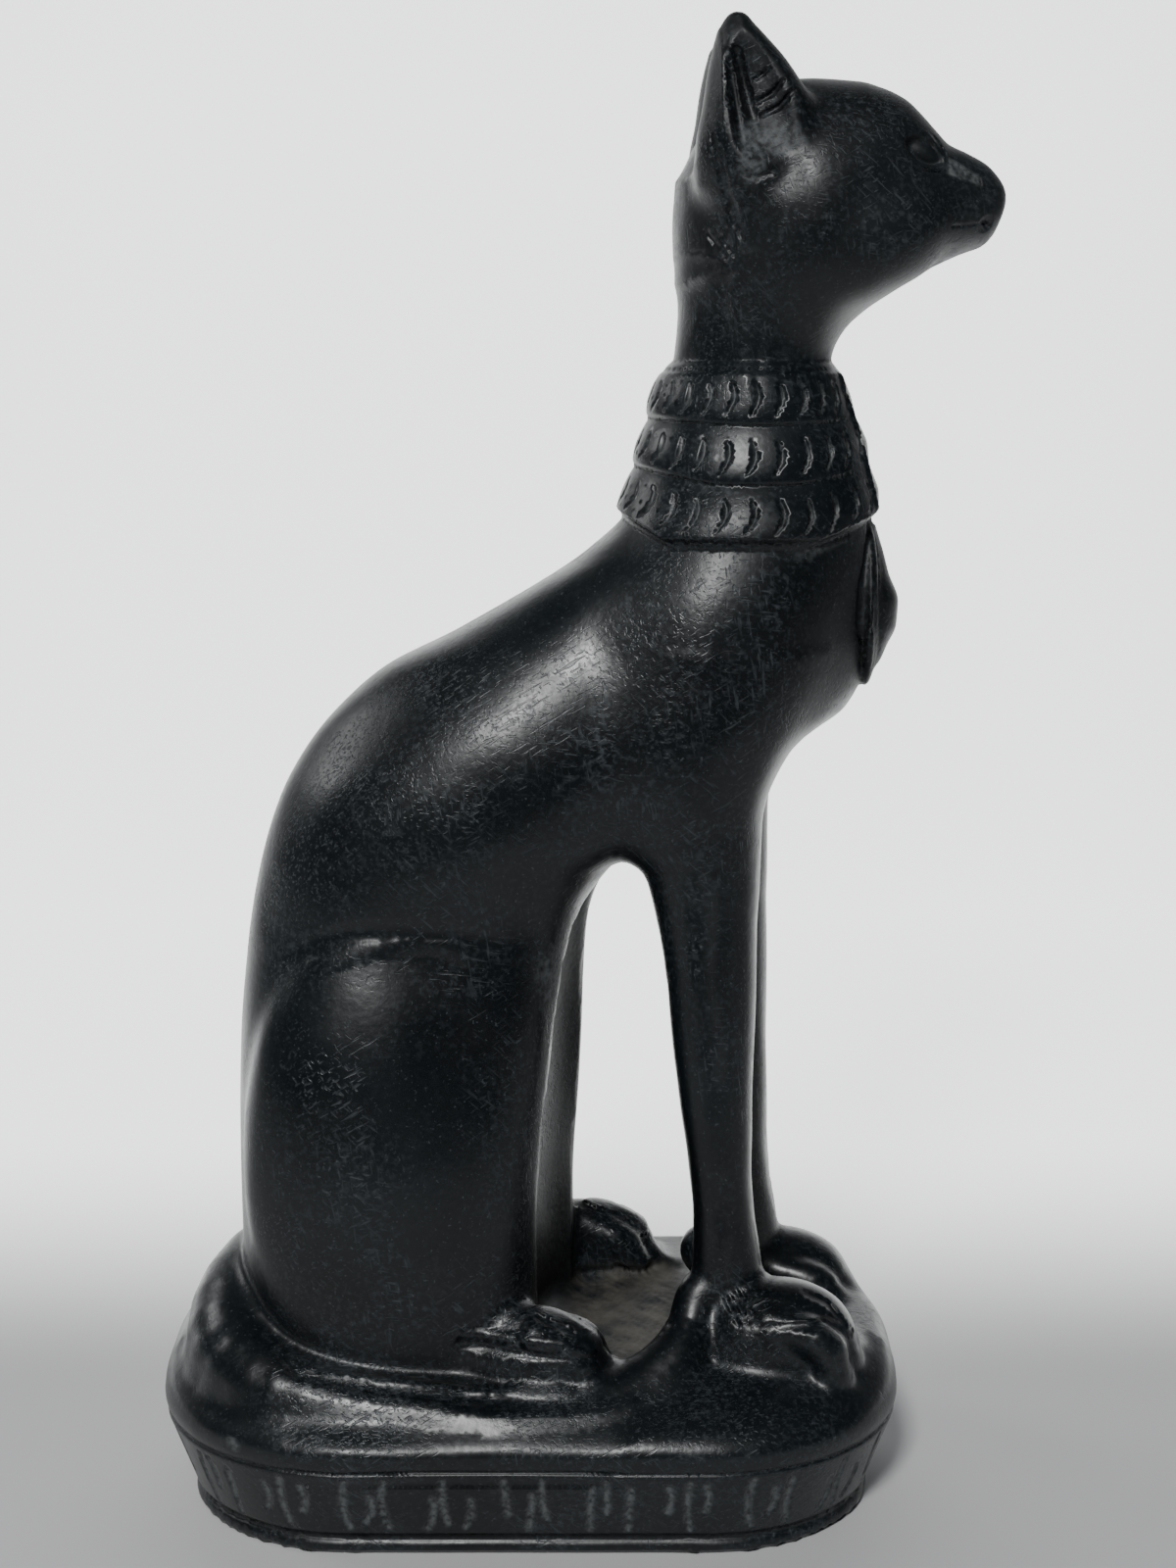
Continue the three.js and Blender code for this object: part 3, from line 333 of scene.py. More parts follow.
@dataclass
class Plinth:
    """The low rounded plinth, in millimetres above its own underside."""

    length: float = 95.0
    width: float = 54.0
    corner_radius: float = 24.0
    height: float = 23.4
    lip_height: float = 2.2
    lip_rounding: float = 0.9
    band_top: float = 13.0
    band_flare: float = 3.8
    groove_width: float = 0.8
    groove_depth: float = 0.6
    crest_height: float = 15.2
    crest_overhang: float = 4.0
    shoulder_run: float = 5.0
    tail_side_run: float = 15.0
    top_tilt: float = 0.07

    def plan_distance(self, x: Array, y: Array) -> Array:
        """Measure the distance in plan to the lip's rounded oblong, negative inside it."""
        qx = np.abs(x) - (self.length / 2 - self.corner_radius)
        qy = np.abs(y) - (self.width / 2 - self.corner_radius)
        outside = np.hypot(np.maximum(qx, 0), np.maximum(qy, 0))
        return outside + np.minimum(np.maximum(qx, qy), 0) - self.corner_radius

    def along_edge(self, x: Array, y: Array) -> Array:
        """Measure the way round the edge, from the middle of either long side, in the direction of +X."""
        straight_x = self.length / 2 - self.corner_radius
        straight_y = self.width / 2 - self.corner_radius
        qx = np.maximum(np.abs(x) - straight_x, 1e-6)
        qy = np.maximum(np.abs(y) - straight_y, 1e-6)
        corner = np.arctan2(qx, qy) * self.corner_radius
        end = np.maximum(straight_y - np.abs(y), 0.0)
        return np.sign(x) * (np.minimum(np.abs(x), straight_x) + corner + end)

    def cushion(self, x: Array, y: Array, z: Array) -> Array:
        """Measure the distance to the part above the band, which bulges and rises to a tilted top."""
        inward = self.crest_overhang - self.plan_distance(x, y)
        tail_side = np.clip((-y / self.width - 0.1) / 0.35, 0.0, 1.0)
        run = self.shoulder_run + (self.tail_side_run - self.shoulder_run) * tail_side
        above = z > self.crest_height
        top = self.height + self.top_tilt * y
        rise = np.where(above, top - self.crest_height, self.crest_height - self.band_top + 1.2)
        width = np.where(above, run, 3.0)
        u = np.maximum(1 - inward / width, 0)
        v = np.abs(z - self.crest_height) / rise
        size = np.hypot(u, v) + 1e-6
        steepness = np.hypot(u / width, v / rise) / size
        return (size - 1) / np.maximum(steepness, 0.02)

    def block(self, x: Array, y: Array, z: Array) -> Array:
        """Measure the distance to the lip, the lower groove and the leaning band."""
        foot = np.clip(z / self.lip_rounding, 0.0, 1.0)
        outward = self.lip_rounding * (np.sqrt(np.maximum(1 - (1 - foot) ** 2, 0)) - 1)
        lean_from = self.lip_height + self.groove_width
        lean = np.clip((z - lean_from) / (self.band_top - lean_from), 0.0, 1.0)
        outward = outward + self.band_flare * lean
        for middle in (self.lip_height + self.groove_width / 2, self.band_top + self.groove_width / 2):
            outward = outward - self.groove_depth * np.exp(-(((z - middle) / (self.groove_width / 2)) ** 2))
        side = self.plan_distance(x, y) - outward
        cap = z - (self.band_top + 2 * self.groove_width)
        return np.maximum(np.maximum(side, cap), -z)

    def distance(self, x: Array, y: Array, z: Array) -> Array:
        """Measure the distance to the whole plinth."""
        return np.minimum(self.cushion(x, y, z), self.block(x, y, z))


@dataclass
class Collar:
    """Three swollen rings round the neck, in shares above the plinth's top."""

    top: float = 74.4
    foot: float = 63.8
    rings: int = 3
    swell: float = 1.0
    sag: float = 1.6
    half_width: float = 7.6
    axis: float = 16.6
    droop: float = 1.5
    strokes: int = 26
    stroke_lean: float = 0.0604
    stroke_bow: float = 0.0511
    panel_half: float = 2.4
    stroke_start: float = 0.22
    stroke_reach: float = 0.62
    stroke_spread: float = 0.16
    steep_width: float = 0.22
    shallow_width: float = 0.36
    hollow_depth: float = 0.22
    hollow_width: float = 1.5

    def place(self, y: Array, z: Array) -> Array:
        """Say where points lie on the collar: 0 at its top edge and 1 at its foot.

        Args:
            y: Shares from the mid-plane.
            z: Shares above the plinth's top.

        Returns:
            The place of each point.
        """
        sideways = np.minimum(np.abs(y) / self.half_width, 1.0)
        height = self.top - self.foot
        drop = (self.top - z) / height
        return drop - (self.sag / height) * sideways**2 * np.clip(drop, 0.0, 1.3)

    def standing_out(self, x: Array, y: Array, z: Array) -> Array:
        """Say how far the collar stands out of the neck, in shares."""
        place = self.place(y, z)
        top = np.clip((place + 0.06) / 0.09, 0.0, 1.0)
        foot = np.clip((1.04 - place) / 0.07, 0.0, 1.0)
        within = place * self.rings - np.floor(place * self.rings)
        roll = np.sqrt(np.maximum(0.0, 1 - (2 * within**self.droop - 1) ** 2))
        throat = np.clip((x - 19) / 6, 0.0, 1.0)
        creased = 0.5 + 0.5 * roll
        return self.swell * (creased + (0.85 - creased) * throat) * top * foot

    def stroke_depth(self, x: Array, y: Array, z: Array) -> Array:
        """Say how deep the rows of bowed cuts are, from 0 to 1.

        Args:
            x: Shares ahead of the origin.
            y: Shares from the mid-plane.
            z: Shares above the plinth's top.

        Returns:
            The depth at each point. A cut is steep on its hind side and shallow on its fore side.
        """
        place = self.place(y, z) * self.rings
        ring = np.clip(np.floor(place), 0, self.rings - 1)
        down = (place - ring - self.stroke_start) / self.stroke_reach
        angle = np.arctan2(y, x - self.axis)
        inside = np.clip(down, 0, 1)
        side = np.sign(np.sin(angle))
        back = side * (self.stroke_lean * inside**2 - self.stroke_bow * np.sin(math.pi * inside))
        turn = (angle - back) / (2 * math.pi) * self.strokes - 0.5
        offset = np.full(len(x), np.inf)
        for step in (-1, 0, 1):
            index = np.floor(turn) + step
            wrapped = np.mod(index, self.strokes)
            found = turn - index - self.stroke_spread * np.sin(wrapped * 12.9 + ring * 5.3)
            offset = np.where(np.abs(found) < np.abs(offset), found, offset)
        radius = np.hypot(x - self.axis, y)
        aside = -side * offset * 2 * math.pi / self.strokes * radius
        taper = 0.35 + 0.65 * np.sin(math.pi * (0.12 + 0.76 * inside))
        width = np.where(aside > 0, self.steep_width, self.shallow_width) * taper
        cut = np.maximum(0, 1 - (aside / width) ** 2)
        hollow = self.hollow_depth * np.maximum(0, 1 - np.abs(aside) / self.hollow_width) * (aside < 0)
        hollow = hollow * ramp(-x, -15.0, -11.0)
        ends = ramp(down, -0.04, 0.1) * ramp(-down, -1.04, -0.9)
        on_collar = (place > 0) & (place < self.rings) & ((np.abs(y) > self.panel_half) | (x < self.axis))
        return np.where(on_collar, taper * ends * np.maximum(cut, hollow), 0.0)

    def panel_height(self, y: Array, z: Array) -> Array:
        """Say how far the panel at the throat stands out, with its edges and diamonds, in millimetres."""
        place = np.clip((self.top - z) / (self.top - self.foot), 0, 1)
        edge = np.abs(np.abs(y) - self.panel_half + 0.2 - 0.5 * place)
        within = place * self.rings - np.floor(place * self.rings)
        diamond = 1 - np.abs(y) / 2.0 - np.abs(within - 0.5) / 0.5
        raised = 0.4 * np.maximum(0.0, 1 - (edge / 0.3) ** 2) + 0.5 * np.clip(diamond, 0.0, 0.8)
        return raised * ramp(place, 0.0, 0.06) * ramp(-place, -1.0, -0.94)


@dataclass
class Cut:
    """A tapering line that is cut in or stands up, drawn in shares in one of the planes."""

    points: Sequence[Row]
    width: float
    depth: float

    def height(self, x: Array, z: Array) -> Array:
        """Say how far the surface stands up along the line, in millimetres; below it, if it is cut."""
        line = np.array(self.points, float)
        nearest = np.full(len(x), np.inf)
        along_at = np.zeros(len(x))
        lengths = np.linalg.norm(np.diff(line, axis=0), axis=1)
        before = 0.0
        for start, end, length in zip(line[:-1], line[1:], lengths):
            way = (end - start) / length
            t = np.clip((x - start[0]) * way[0] + (z - start[1]) * way[1], 0.0, length)
            gap = np.hypot(x - start[0] - t * way[0], z - start[1] - t * way[1])
            closer = gap < nearest
            nearest = np.where(closer, gap, nearest)
            along_at = np.where(closer, before + t, along_at)
            before += length
        share_along = along_at / lengths.sum()
        taper = np.sin(math.pi * np.clip(0.08 + 0.84 * share_along, 0, 1)) ** 0.6
        return -self.depth * taper * np.maximum(0.0, 1 - (nearest / self.width) ** 2)


class Plane(Enum):
    """The plane that fine lines are drawn in, in shares."""

    SIDE = "ahead and up"
    BODY = "ahead along the turned body, and up"
    FRONT = "aside and up"
    TOP = "ahead and to the left"


@dataclass(frozen=True)
class Region:
    """A part of the figure, in shares: so far ahead, aside and up, on both sides or the right one alone."""

    ahead: tuple[float, float] = (-FAR, FAR)
    aside: tuple[float, float] = (-1.0, FAR)
    up: tuple[float, float] = (-FAR, FAR)
    right_only: bool = False

    def holds(self, x: Array, y: Array, z: Array) -> Array:
        """Say which points lie inside."""
        inside = np.ones(len(x), bool)
        aside = -y if self.right_only else np.abs(y)
        for value, (low, high) in ((x, self.ahead), (aside, self.aside), (z, self.up)):
            inside &= (value > low) & (value < high)
        return inside


@dataclass(frozen=True)
class FineLines:
    """Fine lines that lie together. Their height follows so much of the tilt of the plinth's top."""

    region: Region
    plane: Plane
    cuts: Sequence[Cut]
    tilt: float = 0.0

    def height(self, a: Array, b: Array) -> Array:
        """Say how far the surface stands up along the lines, in millimetres."""
        return sum(cut.height(a, b) for cut in self.cuts)


TRUNK_STATIONS = (
    (-5, -22.2, 2.2, -8.0, 11.4, 2.3, 4.0),
    (0, -22.2, 2.2, -8.0, 11.6, 2.3, 4.0),
    (8, -22.1, 2.2, -8.0, 11.9, 2.3, 4.0),
    (16, -22.2, 2.7, -8.0, 11.7, 2.3, 4.0),
    (24, -22.1, 3.3, -8.0, 10.9, 2.3, 4.0),
    (31, -21.6, 3.9, -7.6, 10.1, 2.2, 3.8),
    (34, -21.2, 4.7, -7.2, 9.9, 2.2, 3.4),
    (37, -20.6, 6.6, -6.2, 9.8, 2.2, 3.0),
    (40, -19.8, 11.5, -4.2, 9.8, 2.2, 2.6),
    (43, -18.7, 14.6, -1.8, 9.7, 2.2, 2.3),
    (46, -17.0, 19.4, 1.0, 9.5, 2.1, 2.2),
    (49, -14.6, 24.2, 4.2, 9.2, 2.1, 2.2),
    (52, -11.1, 25.6, 7.6, 8.9, 2.1, 2.2),
    (55, -5.3, 26.1, 10.4, 8.6, 2.1, 2.2),
    (58, -0.1, 26.1, 13.2, 8.3, 2.1, 2.2),
    (61, 4.5, 26.0, 15.2, 7.9, 2.1, 2.2),
    (64, 7.5, 25.6, 16.2, 7.5, 2.1, 2.2),
    (67, 8.5, 24.9, 16.6, 7.1, 2.0, 2.0),
    (70, 9.4, 24.0, 16.8, 6.5, 2.0, 2.0),
    (73, 10.2, 22.9, 17.0, 6.0, 2.0, 2.0),
    (75.5, 10.9, 22.6, 17.0, 5.8, 2.0, 2.0),
    (79, 11.2, 22.8, 17.0, 6.0, 2.0, 2.0),
    (83, 11.2, 22.6, 17.0, 6.5, 2.0, 2.0),
    (87, 12.1, 22.3, 17.0, 6.5, 2.0, 2.0),
)

FACE_STATIONS = (
    (14.4, 84.6, 86.6, 85.6, 0.9, 2.0, 2.0),
    (14.8, 82.4, 89.4, 85.5, 3.2, 2.0, 2.0),
    (15.6, 80.2, 91.9, 85.4, 5.4, 2.0, 2.0),
    (16.8, 78.2, 93.7, 85.2, 7.2, 2.1, 2.1),
    (18.4, 76.9, 94.7, 85.0, 8.4, 2.2, 2.1),
    (21.0, 76.9, 95.1, 85.2, 8.9, 2.2, 2.1),
    (24.3, 78.3, 95.2, 85.6, 8.2, 2.2, 2.2),
    (26.0, 79.4, 94.8, 85.8, 7.5, 2.2, 2.3),
    (27.7, 80.4, 94.0, 86.0, 6.7, 2.2, 2.4),
    (28.8, 81.0, 93.0, 86.0, 6.2, 2.2, 2.4),
    (29.9, 81.7, 91.8, 86.0, 5.7, 2.2, 2.4),
    (30.9, 82.2, 90.8, 86.0, 5.2, 2.2, 2.4),
    (32.4, 82.9, 90.1, 86.2, 4.5, 2.2, 2.4),
    (33.7, 83.4, 89.4, 86.4, 3.8, 2.2, 2.4),
    (34.4, 84.1, 88.8, 86.6, 3.2, 2.2, 2.2),
    (34.9, 85.1, 88.2, 86.7, 2.5, 2.1, 2.1),
    (35.2, 85.9, 87.7, 86.8, 1.6, 2.1, 2.1),
    (35.4, 86.6, 87.1, 86.85, 0.5, 2.0, 2.0),
)

EAR_STATIONS = (
    (82.0, 16.0, 17.4, 16.6, 0.4),
    (83.2, 14.9, 18.8, 16.5, 1.5),
    (85.4, 13.5, 20.3, 16.3, 2.5),
    (87.5, 12.4, 21.2, 16.0, 3.2),
    (90.0, 12.1, 21.5, 15.8, 3.6),
    (92.8, 12.6, 20.9, 15.6, 3.5),
    (94.8, 12.9, 19.6, 15.4, 3.1),
    (96.3, 13.2, 18.5, 15.2, 2.7),
    (97.8, 13.6, 17.1, 15.1, 2.1),
    (98.6, 14.0, 16.3, 15.05, 1.5),
    (99.15, 14.4, 15.8, 15.05, 1.0),
    (99.4, 14.8, 15.4, 15.05, 0.4),
)

FORELEG_STATIONS = (
    (-3.0, 13.2, 19.4, 16.4, 2.7),
    (3.0, 13.5, 19.2, 16.4, 2.6),
    (7.0, 13.6, 18.8, 16.4, 2.5),
    (10.1, 13.6, 18.3, 16.1, 2.45, 2.0, 2.1),
    (14.2, 13.2, 18.0, 15.7, 2.5, 2.0, 2.1),
    (19.4, 12.4, 18.0, 15.3, 2.6, 2.0, 2.1),
    (24.5, 11.7, 18.0, 14.9, 2.75, 2.0, 2.1),
    (28.4, 11.2, 18.0, 14.6, 2.9, 2.0, 2.1),
    (32.7, 10.5, 18.0, 14.2, 3.2, 2.0, 2.1),
    (35.7, 9.8, 18.1, 13.9, 3.5, 2.0, 2.1),
    (39.0, 8.6, 18.1, 13.6, 3.9, 2.0, 2.1),
    (43.0, 7.6, 18.2, 13.4, 4.3, 2.0, 2.1),
    (48.0, 7.6, 18.9, 13.9, 4.4, 2.0, 2.1),
    (52.0, 9.0, 20.6, 14.8, 4.0, 2.0, 2.1),
)

TAIL_POINTS = (
    (-13.6, 1.5, 5.2, 4.5),
    (-20.5, -0.5, 2.9, 4.8),
    (-22.1, -5.3, 0.3, 4.6),
    (-20.0, -9.8, -1.6, 3.9),
    (-14.5, -11.9, -2.6, 3.2),
    (-7.0, -12.5, -3.4, 2.8),
    (0.5, -12.3, -3.9, 2.7),
    (5.5, -11.6, -3.0, 2.7),
    (9.2, -10.4, -1.6, 2.5),
    (11.3, -9.0, 0.1, 2.2),
    (12.4, -7.4, 2.0, 1.7),
)

PECTORAL_STATIONS = (
    (51.2, 24.5, 25.4, 25.0, 0.6),
    (52.4, 24.5, 26.7, 25.2, 1.9),
    (53.7, 24.5, 27.3, 25.2, 2.6),
    (55.3, 24.5, 28.0, 25.2, 3.1),
    (57.0, 24.5, 28.1, 25.2, 3.2),
    (59.2, 24.5, 27.3, 25.2, 2.9),
    (61.0, 24.5, 26.8, 25.2, 2.3),
    (62.8, 24.5, 26.2, 25.2, 1.5),
)

EAR_OUT_POINTS = ((78, 3.4), (84, 4.9), (90, 5.6), (100, 6.1))
FORELEG_OUT_POINTS = ((-3, 5.6), (8, 5.2), (25, 5.0), (40, 4.7), (52, 4.4))
SKEW_POINTS = ((-5, 0.19), (10, 0.19), (30, 0.15), (50, 0.08), (64, 0.0), (80, 0.0))

# Each line is drawn in its group's plane, in shares; one with a depth below 0 stands up.
EAR_CUTS = (
    Cut(((13.7, 98.2), (13.9, 95.3), (14.0, 92.5), (14.1, 90.3)), 0.2, -0.12),
    Cut(((14.3, 96.4), (14.6, 94.2), (15.0, 92.0), (15.2, 90.4)), 0.34, 0.26),
    Cut(((14.9, 96.5), (15.3, 95.1), (15.7, 93.6), (16.1, 92.0)), 0.46, 0.75),
    Cut(((16.2, 94.6), (16.8, 94.9), (17.2, 95.3)), 0.2, 0.3),
    Cut(((16.4, 93.0), (17.5, 93.6), (18.2, 94.4)), 0.26, 0.45),
    Cut(((16.8, 92.1), (18.0, 92.7), (19.0, 93.8)), 0.26, 0.45),
    Cut(((15.5, 88.0), (16.4, 87.75), (17.4, 88.1)), 0.28, 0.3),
)
NECK_CUTS = (
    Cut(((13.0, 92.0), (13.5, 89.2), (14.1, 86.9), (14.6, 85.2), (15.4, 83.8)), 0.2, 0.2),
    Cut(((13.8, 89.9), (14.3, 87.2), (15.1, 85.2), (15.5, 83.3)), 0.24, 0.26),
    Cut(((13.4, 90.8), (13.9, 87.9), (14.8, 85.0)), 0.14, 0.14),
    Cut(((13.0, 84.2), (14.0, 82.8), (14.6, 82.1)), 0.2, 0.18),
    Cut(((13.6, 84.3), (14.4, 83.2), (15.1, 82.3)), 0.18, 0.16),
)
FACE_CUTS = (
    Cut(((29.0, 91.1), (29.65, 90.15), (30.15, 89.3)), 0.2, -0.16),
    Cut(((29.4, 91.1), (30.0, 90.3), (30.5, 89.5)), 0.13, 0.16),
    Cut(((27.3, 89.2), (28.2, 88.75), (29.3, 88.7), (30.15, 88.95)), 0.18, -0.18),
    Cut(((27.6, 88.75), (28.4, 88.35), (29.6, 88.3), (30.3, 88.5)), 0.14, 0.18),
    Cut(((29.6, 81.9), (31.2, 82.5)), 0.15, 0.2),
    Cut(((33.0, 84.9), (31.9, 84.7), (30.6, 84.6)), 0.15, 0.14),
    Cut(((33.3, 84.7), (33.6, 85.1)), 0.5, 0.55),
)
FOREPAW_CUTS = (
    Cut(((17.4, 2.6), (20.0, 2.7), (22.5, 2.6), (24.6, 1.4)), 0.4, 0.4),
    Cut(((20.8, 4.6), (22.8, 3.6), (24.2, 2.0)), 0.22, 0.28),
    Cut(((14.8, 4.4), (15.5, 3.2), (16.0, 2.2)), 0.22, 0.26),
    Cut(((15.4, 4.7), (16.1, 3.5), (16.6, 2.6)), 0.2, 0.22),
    Cut(((16.0, 4.9), (16.7, 3.8), (17.1, 3.0)), 0.18, 0.18),
)
HINDPAW_CUTS = (
    Cut(((2.7, 5.5), (4.4, 4.9), (6.2, 3.8)), 0.22, 0.32),
    Cut(((1.2, 5.4), (2.5, 5.0), (4.9, 4.2), (6.6, 3.0)), 0.2, 0.3),
    Cut(((-3.2, 3.75), (0.7, 3.6), (4.9, 3.6), (7.4, 2.7)), 0.42, -0.34),
    Cut(((-3.0, 2.9), (1.2, 2.6), (5.2, 2.5), (7.6, 1.8)), 0.45, 0.4),
)
THIGH_CUTS = (
    Cut(((-14.5, 30.6), (-11.0, 32.0), (-7.8, 32.5), (-4.8, 32.3), (-2.0, 31.4)), 0.8, -0.2),
    Cut(((-15.5, 31.8), (-11.5, 33.4), (-7.8, 33.9), (-4.0, 33.6), (-0.5, 32.4)), 0.9, 0.22),
)
PENDANT_CUTS = (
    Cut(((2.4, 63.2), (3.2, 61.2), (4.0, 58.4), (3.8, 55.4), (2.4, 52.3)), 0.3, 0.3),
    Cut(((1.5, 62.9), (2.4, 60.6), (3.2, 58.2), (3.0, 55.2), (1.7, 52.5)), 0.26, 0.18),
)
PLINTH_CUTS = (
    Cut(((-15.0, -13.0), (-10.0, -13.0), (-4.0, -13.2), (3.2, -13.5)), 0.5, -0.3),
    Cut(((-21.0, -10.0), (-17.0, -13.4), (-10.0, -13.9), (-3.0, -14.1), (3.6, -14.3)), 0.5, 0.32),
    Cut(((-19.0, -14.0), (-13.0, -14.9), (-7.9, -15.0), (-2.8, -15.5), (3.0, -15.4), (7.6, -14.4)),
        0.8, -0.3),
    Cut(((-17.0, -15.8), (-8.0, -16.4), (-1.0, -16.8), (6.0, -16.3), (11.0, -14.4)), 1.2, 0.4),
)

FINE_LINES = (
    FineLines(Region(ahead=(-FAR, 21), aside=(4.5, FAR), up=(86, FAR)), Plane.SIDE, EAR_CUTS),
    FineLines(Region(ahead=(-FAR, 17), aside=(3.5, FAR), up=(81, 93)), Plane.SIDE, NECK_CUTS),
    FineLines(Region(ahead=(26.5, FAR), aside=(1.4, FAR), up=(81, FAR)), Plane.SIDE, FACE_CUTS),
    FineLines(Region(ahead=(13.5, FAR), aside=(7.5, FAR), up=(0.5, 6.5)), Plane.SIDE, FOREPAW_CUTS, -0.5),
    FineLines(Region(ahead=(-6, 9.5), aside=(9, FAR), up=(0.8, 7)), Plane.BODY, HINDPAW_CUTS, 1.0),
    FineLines(Region(ahead=(-FAR, 2), aside=(6, FAR), up=(28, 37)), Plane.BODY, THIGH_CUTS),
    FineLines(Region(ahead=(23.5, FAR), aside=(-1, 6), up=(49, 63.8)), Plane.FRONT, PENDANT_CUTS),
    FineLines(Region(aside=(10.5, FAR), up=(-7, 2.4), right_only=True), Plane.TOP, PLINTH_CUTS),
)

# The longest edge that the mesh may have in each region, in millimetres. A later row overrules.
EDGE_LENGTHS = (
    (Region(up=(76, FAR)), 0.9),
    (Region(ahead=(-FAR, 19), aside=(3, FAR), up=(81, FAR)), 0.55),
    (Region(ahead=(-FAR, 20), aside=(5.5, FAR), up=(87, FAR)), 0.36),
    (Region(ahead=(27, FAR), aside=(1.2, FAR), up=(83.5, 91.6)), 0.3),
    (Region(ahead=(-4, FAR), up=(-3, 8)), 0.75),
    (Region(ahead=(13, FAR), aside=(7, FAR), up=(0, 6)), 0.5),
    (Region(ahead=(-4, 10), aside=(8, FAR), up=(0, 7)), 0.4),
    (Region(aside=(10, FAR), up=(-4, 3), right_only=True), 0.75),
    (Region(ahead=(24, FAR), up=(50, 64)), 0.45),
    (Region(ahead=(-16, 1), aside=(7, FAR), up=(29, 35.5)), 0.7),
)


@dataclass
class Cat:
    """The cat itself, in shares of its own height above the plinth's top."""

    top_tilt: float
    collar: Collar = field(default_factory=Collar)
    forepaw_out: float = 6.5
    forepaw_skew: float = 0.07
    hindpaw_out: float = 10.3
    body_blend: float = 4.0
    head_blend: float = 3.0
    foreleg_blend: float = 2.6
    thigh_blend: float = 1.6
    paw_blend: float = 1.2
    toe_blend: float = 0.5
    tail_blend: float = 1.0
    pectoral_blend: float = 0.4

    def __post_init__(self) -> None:
        """Set up every form once."""
        self.trunk = Loft(TRUNK_STATIONS)
        self.face = Loft(FACE_STATIONS, Axis.FORWARD)
        self.cranium = Ellipsoid((20.2, 0, 86.8), (8.9, 8.7, 8.3))
        self.cheek = Ellipsoid((25.4, 4.4, 83.9), (4.6, 3.5, 3.4), tilt=24)
        self.whisker_pad = Ellipsoid((32.3, 1.9, 86.0), (2.1, 1.9, 1.6))
        self.eye_socket = Ellipsoid((29.0, 5.9, 89.9), (2.0, 1.6, 1.2), tilt=-22, turn=-24)
        self.eyeball = Ellipsoid((28.7, 3.75, 89.7), (2.0, 1.15, 0.95), tilt=-22, turn=-24)
        self.ear = Loft(EAR_STATIONS)
        self.ear_out = Curve(EAR_OUT_POINTS)
        self.ear_hollow = Ellipsoid((17.2, 9.9, 92.4), (2.7, 2.0, 6.2), tilt=14, turn=14)
        self.foreleg = Loft(FORELEG_STATIONS)
        self.foreleg_out = Curve(FORELEG_OUT_POINTS)
        self.thigh = Ellipsoid((-9.7, 7.8, 14.7), (10.2, 5.5, 18.4), tilt=4)
        self.shoulder = Ellipsoid((14.0, 5.0, 51.4), (6.4, 5.0, 12.0), tilt=-14)
        self.flank = Ellipsoid((-3.5, 4.7, 42.0), (14.0, 6.2, 7.8), tilt=36)
        self.skew = Curve(SKEW_POINTS)
        self.belly_hollow = Ellipsoid((4.2, -0.5, 11), (4.0, 6.4, 24))
        self.forepaw = Ellipsoid((19.4, self.forepaw_out, -0.2), (6.4, 4.2, 5.3))
        self.forepaw_heel = Ellipsoid((13.3, self.forepaw_out, 3.2), (1.7, 1.7, 2.0))
        self.hindpaw = Ellipsoid((2.1, self.hindpaw_out - 0.2, 0.3), (6.0, 2.7, 5.0), turn=9)
        self.tail = Limb(TAIL_POINTS, 30)
        self.pectoral_plate = Ellipsoid((25.6, 0, 57.0), (1.0, 4.2, 6.4))
        self.pectoral_boss = Loft(PECTORAL_STATIONS)
        self.forepaw_toes = [self._forepaw_toe(place) for place in (-1.5, -0.5, 0.5, 1.5)]
        self.hindpaw_toes = [self._hindpaw_toe(place) for place in (-1, 0, 1)]

    def _forepaw_toe(self, place: float) -> Limb:
        """Make one toe of a forepaw, place toes away from the paw's middle."""
        out, bend = self.forepaw_out, abs(place)
        knuckle = (22.8, out + place * 2.1, 2.3 - bend * 0.8, 1.7)
        tip = (24.9 - bend * 0.7, out + place * 2.2, -0.4 - bend * 0.5, 1.35)
        return Limb(((19.0, out + place * 1.7, 2.4, 1.3), knuckle, tip))

    def _hindpaw_toe(self, place: float) -> Limb:
        """Make one toe of a hind paw, place toes away from the paw's middle."""
        out = self.hindpaw_out
        tip = (7.5 - abs(place) * 0.6, out + place * 1.5, 0.2, 1.1)
        return Limb(((2.8, out + place * 1.2, 3.5, 1.1), (5.6, out + place * 1.4, 2.1, 1.35), tip))

    def head_distance(self, x: Array, y: Array, side: Array, z: Array) -> Array:
        """Measure the distance to the head with its ears, eyes and muzzle."""
        head = flow_together(self.face.distance(x, y, z), self.cranium.distance(x, y, z), 1.5)
        head = flow_together(head, self.cheek.distance(x, side, z), 2.2)
        head = flow_together(head, self.whisker_pad.distance(x, side, z), 0.8)
        head = carve_out(head, self.eye_socket.distance(x, side, z), 0.5)
        head = flow_together(head, self.eyeball.distance(x, side, z), 0.2)
        head = flow_together(head, self.ear.distance(x, side - self.ear_out.at(z), z), 0.7)
        return carve_out(head, self.ear_hollow.distance(x, side, z), 0.9)

    def paws_distance(self, x: Array, body_x: Array, y: Array, z: Array) -> Array:
        """Measure the distance to the four paws. The hind ones follow the tilt of the plinth's top."""
        side = np.abs(y)
        fore = (x - self.forepaw_skew * y, side, z + 0.5 * self.top_tilt * y)
        forepaw = self.forepaw.distance(*fore)
        for form in (*self.forepaw_toes, self.forepaw_heel):
            forepaw = flow_together(forepaw, form.distance(*fore), self.toe_blend)
        hind = (body_x, side, z - self.top_tilt * y)
        hindpaw = self.hindpaw.distance(*hind)
        for toe in self.hindpaw_toes:
            hindpaw = flow_together(hindpaw, toe.distance(*hind), self.toe_blend)
        return np.minimum(forepaw, hindpaw)

